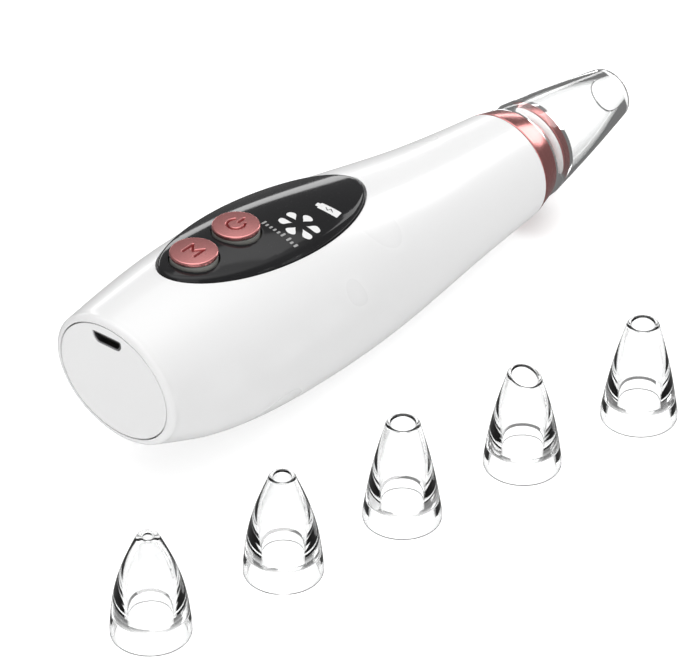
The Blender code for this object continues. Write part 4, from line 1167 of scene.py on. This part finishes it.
# ======================================================================= nose
@dataclass
class Nose:
    """The rose band, the spigot with its white ring, and the filter disc."""

    band_length: float = 0.0060
    band_front: float = 0.0121
    bore: float = 0.0073
    spigot: float = 0.0102
    spigot_length: float = 0.0070
    ring_place: float = 0.0035
    ring_section: float = 0.0009
    ring_radius: float = 0.0097
    ring_steps: int = 32
    plug_length: float = 0.0050
    plug_wall: float = 0.0024
    tube: float = 0.0070
    tube_length: float = 0.0055
    pipe: float = 0.0016
    pipe_length: float = 0.0105
    pipe_bore: float = 0.0008
    spigot_bore: float = 0.0060
    disc: float = 0.0087
    disc_tall: float = 0.0011
    disc_skirt: tuple[float, float] = (0.0046, 0.0057)
    disc_skirt_depth: float = 0.0018
    dish: tuple[float, float] = (0.0048, 0.0052)
    dish_depth: float = 0.0003

    def build(self) -> None:
        """Make the band, spigot, ring and disc about the nose axis."""
        start = BODY.length + GAP
        front = start + self.band_length
        tip = front + self.spigot_length
        self.build_band(start, front)
        self.build_spigot(start, front, tip)
        self.build_ring(front + self.ring_place)
        self.build_disc(tip)

    def turn(self, name: str, corners: Sequence[tuple[float, float, float]], node: str,
             steps: int = 128) -> None:
        """Make one rose piece about the nose axis."""
        centre = (-BODY.rest, 0.0, BODY.nose_height)
        turned(name, corners, centre, Axis.ALONG_BODY, ROSE, "handpiece", [node], steps)

    def build_band(self, start: float, front: float) -> None:
        """Make the band, whose plug fits in the sleeve."""
        plug = BODY.nose - self.plug_wall - GAP
        back = start - self.plug_length
        self.turn("nose_collar",
                  [(back, self.bore, 0), (back, plug, 0.0002), (start, plug, 0),
                   (start, BODY.nose, 0.00025), (front, self.band_front, 0.0004),
                   (front, self.bore, 0.0001)], "nose_band", 160)

    def build_spigot(self, start: float, front: float, tip: float) -> None:
        """Make the spigot with its groove, and the pipe behind it."""
        ring = front + self.ring_place
        floor = self.ring_radius - self.ring_section - GAP
        half = self.ring_section + GAP
        pipe_end, tube_end = start - self.pipe_length, start - self.tube_length
        self.turn("spigot_tube",
                  [(pipe_end, self.pipe_bore, 0), (pipe_end, self.pipe, 0.0001),
                   (tube_end, self.pipe, 0), (tube_end, self.tube, 0.0001),
                   (front + GAP, self.tube, 0), (front + GAP, self.spigot, 0.0002),
                   (ring - half, self.spigot, 0.0001), (ring - half, floor, 0.0001),
                   (ring + half, floor, 0.0001), (ring + half, self.spigot, 0.0001),
                   (tip, self.spigot, 0.0003), (tip, self.spigot_bore, 0.0001),
                   (start, self.spigot_bore, 0), (start, self.pipe_bore, 0)], "nose_spigot")

    def build_ring(self, place: float) -> None:
        """Make the white ring in the spigot's groove."""
        turn = np.linspace(0, TAU, self.ring_steps, endpoint=False)
        section = np.stack([place + self.ring_section * np.cos(turn),
                            self.ring_radius + self.ring_section * np.sin(turn)], -1)
        centre = (-BODY.rest, 0.0, BODY.nose_height)
        grid = turned_grid(section, centre, Axis.ALONG_BODY, 144)
        Skin().add(grid, True, True).piece("seal_ring", SILICONE, "handpiece",
                                           ["spigot_seal_ring"])

    def build_disc(self, tip: float) -> None:
        """Make the dished disc, whose skirt stands in the spigot."""
        low, foot = tip + GAP, tip - self.disc_skirt_depth
        high = low + self.disc_tall
        floor = high - self.dish_depth
        inner, outer = self.disc_skirt
        dish_floor, dish_rim = self.dish
        self.turn("filter_disc",
                  [(low, 0.0, 0), (low, inner, 0), (foot, inner, 0.0001),
                   (foot, outer, 0.0001), (low, outer, 0), (low, self.disc, 0.0001),
                   (high, self.disc, 0.0003), (high, dish_rim, 0.0002),
                   (floor, dish_floor, 0.0002), (floor, 0.0, 0)], "filter_cap")


# ============================================================== suction heads
class Foot(Enum):
    """The lower part that a group of heads shares."""

    FITTED = "fitted"
    SPARE = "spare"

    @property
    def sizes(self) -> "FootSizes":
        """Return the sizes of this foot."""
        return FITTED_FOOT if self is Foot.FITTED else SPARE_FOOT


@dataclass(frozen=True)
class FootSizes:
    """Base radius, socket wall, full height, socket depth, throat, upright skirt."""

    radius: float
    wall: float
    height: float
    socket: float
    throat: float
    skirt: float


FITTED_FOOT = FootSizes(0.0120, 0.0011, 0.0366, 0.0072, 0.0093, 0.0030)
SPARE_FOOT = FootSizes(0.0084, 0.0009, 0.0243, 0.0052, 0.0053, 0.0016)


@dataclass(frozen=True)
class HeadShape:
    """A suction head's foot, mouth radius, rim width, swelling of the cone and slant."""

    foot: Foot
    mouth: float
    rim: float
    belly: float
    tilt: float = 0.0


class HeadKind(Enum):
    """The six suction heads."""

    ROUND_LARGE = HeadShape(Foot.FITTED, 0.0046, 0.0019, 0.0002)
    FINE_POINT = HeadShape(Foot.SPARE, 0.0010, 0.0015, 0.0013)
    SMALL_ROUND = HeadShape(Foot.SPARE, 0.0019, 0.0010, 0.0011)
    WIDE_ROUND = HeadShape(Foot.SPARE, 0.0026, 0.0011, 0.0004)
    SLANTED_OVAL = HeadShape(Foot.SPARE, 0.0028, 0.0010, 0.0005, math.radians(14))
    MEDIUM_ROUND = HeadShape(Foot.SPARE, 0.0025, 0.0011, 0.0004)


@dataclass
class SuctionHead:
    """A clear head: socket, ledge, throat and a cone that narrows to the mouth."""

    kind: HeadKind
    name: str
    node: str
    body: str
    axis: Axis
    centre: tuple[float, float, float]
    inner_belly: float = 0.0007
    inner_share: float = 0.6
    edge: float = 0.0005
    base_round: float = 0.0003
    lip_round: float = 0.0002
    cone_steps: int = 28
    rim_steps: int = 16
    columns: int = 144

    def cone(self, low: float, high: float, first: float, last: float,
             belly: float) -> np.ndarray:
        """Return a cone's side: a straight line plus a sine that swells by belly."""
        share = np.linspace(0, 1, self.cone_steps)
        return np.stack([low + (high - low) * share,
                         first + (last - first) * share + belly * np.sin(math.pi * share)], -1)

    def profile(self) -> np.ndarray:
        """Return the closed outline: base, outer cone, round rim, inner cone, socket."""
        shape, foot = self.kind.value, self.kind.value.foot.sizes
        crown = foot.height - self.edge
        outer = self.cone(foot.skirt, crown, foot.radius, shape.mouth + shape.rim, shape.belly)
        bend = np.linspace(0, math.pi, self.rim_steps)[1:-1]
        half = shape.rim / 2
        rim = np.stack([crown + self.edge * np.sin(bend),
                        shape.mouth + half + half * np.cos(bend)], -1)
        inner = self.cone(foot.socket, crown, foot.throat, shape.mouth,
                          self.inner_belly + self.inner_share * shape.belly)[::-1]
        bore = foot.radius - foot.wall
        lower = rounded([(foot.socket, foot.throat, 0), (foot.socket, bore, self.base_round),
                         (0.0, bore, self.lip_round), (0.0, foot.radius, self.base_round),
                         (foot.skirt, foot.radius, 0)])
        return np.concatenate([outer, rim, inner, lower[1:-1]])

    def build(self) -> None:
        """Make the head; a slanted mouth lowers each side in proportion to its height."""
        grid = turned_grid(self.profile(), (0.0, 0.0, 0.0), self.axis, self.columns)
        shape, foot = self.kind.value, self.kind.value.foot.sizes
        if shape.tilt:
            rise = math.tan(shape.tilt) * (shape.mouth + shape.rim)
            turn = np.linspace(0, TAU, self.columns, endpoint=False)
            crown = foot.height - rise - self.edge + rise * np.sin(turn)
            height = grid[..., 2]
            lift = np.clip(height - foot.socket, 0, None) / (foot.height - foot.socket)
            grid[..., 2] = height + lift * (crown - foot.height)[None]
        grid = grid + np.array(self.centre)
        made = Skin().add(grid, True, True).piece(self.name, CLEAR, self.body, [self.node])
        made.visible_shadow = False
        made.visible_glossy = self.kind.value.foot is Foot.SPARE


# ============================================================== floor and view
@dataclass(frozen=True)
class Softbox:
    """A soft rectangular lamp: where it hangs, its two sides and its power in watts."""

    name: str
    place: tuple[float, float, float]
    size: tuple[float, float]
    power: float


SOFTBOXES = (
    Softbox("key_softbox", (0.56, 0.25, 0.64), (0.5, 0.17), 0.26),
    Softbox("near_softbox", (-0.65, -0.55, 0.35), (0.8, 0.6), 1.6),
    Softbox("nose_softbox", (0.91, -0.08, 0.36), (0.42, 0.40), 1.6),
    Softbox("far_strip", (0.60, 0.70, 0.16), (1.0, 0.11), 1.1),
    Softbox("top_softbox", (0.0, 0.1, 1.1), (0.9, 0.7), 1.0),
)


@dataclass
class Studio:
    """Pale floor, soft lights and the camera."""

    azimuth: float = math.radians(-51.0)
    elevation: float = math.radians(33.83)
    distance: float = 0.8889
    lens: float = 206.0
    look: tuple[float, float, float] = (0.0030, 0.0, 0.0150)
    aim_right: float = 0.00218
    aim_up: float = -0.01173
    horizon: float = 0.60
    horizon_soft: float = 0.32
    sky_strength: float = 1.8
    sky_low: float = 0.11
    floor_glow: float = 0.36
    floor_half: float = 3.0
    floor_drop: float = 0.00005
    lamps_aim: tuple[float, float, float] = (0.0, 0.0, 0.02)

    def ways(self) -> tuple[Vector, Vector, Vector]:
        """Return the camera's back, right and up ways."""
        a, e = self.azimuth, self.elevation
        back = Vector((math.sin(a) * math.cos(e), -math.cos(a) * math.cos(e), math.sin(e)))
        right = Vector((math.cos(a), math.sin(a), 0))
        return back, right, back.cross(right)

    def camera(self) -> None:
        """Place the camera on its long lens."""
        back, right, up = self.ways()
        made = bpy.data.objects.new("camera", bpy.data.cameras.new("camera"))
        made.data.lens = self.lens
        made.data.sensor_width = 36.0
        made.data.clip_end = 10.0
        eye = Vector(self.look) + back * self.distance
        aim = Vector(self.look) + right * self.aim_right + up * self.aim_up
        made.location = eye
        made.rotation_euler = (eye - aim).to_track_quat("Z", "Y").to_euler()
        bpy.context.scene.collection.objects.link(made)
        bpy.context.scene.camera = made

    def hang(self, box: Softbox) -> None:
        """Hang a soft lamp that faces the object."""
        light = bpy.data.lights.new(box.name, "AREA")
        light.shape = "RECTANGLE"
        light.size, light.size_y = box.size
        light.energy = box.power
        made = bpy.data.objects.new(box.name, light)
        made.visible_camera = False
        made.location = box.place
        way = Vector(box.place) - Vector(self.lamps_aim)
        made.rotation_euler = way.to_track_quat("Z", "Y").to_euler()
        bpy.context.scene.collection.objects.link(made)

    def floor(self) -> None:
        """Lay the pale floor, which doesn't show in the gloss of the pieces."""
        recipe = Recipe("pale floor")
        shade = recipe.blend((0.90, 0.90, 0.90), (0.93, 0.93, 0.93), recipe.noise(9, 2))
        recipe.shader.inputs["Emission Strength"].default_value = self.floor_glow
        recipe.done(Base_Color=shade, Emission_Color=shade, Roughness=0.65)
        half, height = self.floor_half, -self.floor_drop
        corners = [(-half, -half), (half, -half), (half, half), (-half, half)]
        mesh = bpy.data.meshes.new("floor")
        mesh.from_pydata([(x, y, height) for x, y in corners], [], [(0, 1, 2, 3)])
        mesh.materials.append(recipe.material)
        made = bpy.data.objects.new("floor", mesh)
        made.visible_glossy = False
        bpy.context.scene.collection.objects.link(made)

    def sky(self) -> None:
        """Surround the scene with a studio: white above, darker towards the horizon."""
        world = bpy.data.worlds.new("studio")
        world.use_nodes = True
        tree = world.node_tree
        where = tree.nodes.new("ShaderNodeTexCoord")
        parts = tree.nodes.new("ShaderNodeSeparateXYZ")
        ramp = tree.nodes.new("ShaderNodeValToRGB")
        low, high = ramp.color_ramp.elements
        low.position, high.position = self.horizon, self.horizon + self.horizon_soft
        low.color = (self.sky_low, self.sky_low, self.sky_low, 1.0)
        high.color = (1.0, 1.0, 1.0, 1.0)
        tree.links.new(where.outputs["Generated"], parts.inputs[0])
        tree.links.new(parts.outputs["Z"], ramp.inputs["Fac"])
        sky = tree.nodes["Background"]
        tree.links.new(ramp.outputs["Color"], sky.inputs["Color"])
        sky.inputs["Strength"].default_value = self.sky_strength
        bpy.context.scene.world = world

    def build(self) -> None:
        """Set up floor, sky, lamps and camera."""
        scene = bpy.context.scene
        scene.view_settings.view_transform = "Standard"
        self.floor()
        self.sky()
        for box in SOFTBOXES:
            self.hang(box)
        self.camera()


DRESSED = (
    (SLEEVE, ("battery_cell",)),
    (STEEL, ("motor_can", "motor_shaft", "board_screw_1", "board_screw_2", "board_screw_3",
             "board_screw_4")),
    (BOARD, ("control_board", "charge_board")),
    (BLACK, ("controller_chip", "mode_switch", "power_switch", "pump_crank", "pump_housing",
             "pump_cover")),
    (GREY, ("chassis_plate", "pump_bracket")),
    (LAMP, ("icon_light_guide", "icon_led_1", "icon_led_2", "icon_led_3")),
    (RUBBER, ("pump_diaphragm", "suction_hose")),
    (FOAM, ("filter_sponge",)),
)


def build_heads() -> None:
    """Make the fitted head on the nose and the spare heads where their solids stand."""
    nose = (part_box("suction_head")[0].x, 0.0, BODY.nose_height)
    SuctionHead(HeadKind.ROUND_LARGE, "fitted_cone", "suction_head", "fitted_head",
                Axis.ALONG_BODY, nose).build()
    spares = [kind for kind in HeadKind if kind.value.foot is Foot.SPARE]
    for k, kind in enumerate(spares, 1):
        low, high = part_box(f"spare_head_{k}")
        centre = ((low.x + high.x) / 2, (low.y + high.y) / 2, 0.0)
        SuctionHead(kind, f"spare_cone_{k}", f"spare_head_{k}", f"spare_{k}", Axis.UPRIGHT,
                    centre).build()


def main() -> None:
    """Build every sub-assembly, dress the inner works and set up the studio."""
    logging.basicConfig(level=logging.INFO, format="%(name)s: %(message)s")
    Sleeve().build()
    TailEnd().build()
    Window().build()
    PanelMarks().build()
    for mark in ButtonMark:
        PushButton(mark).build()
    Nose().build()
    build_heads()
    for finish, nodes in DRESSED:
        dress(finish, *nodes)
    Studio().build()


if __name__ == "__main__":
    main()
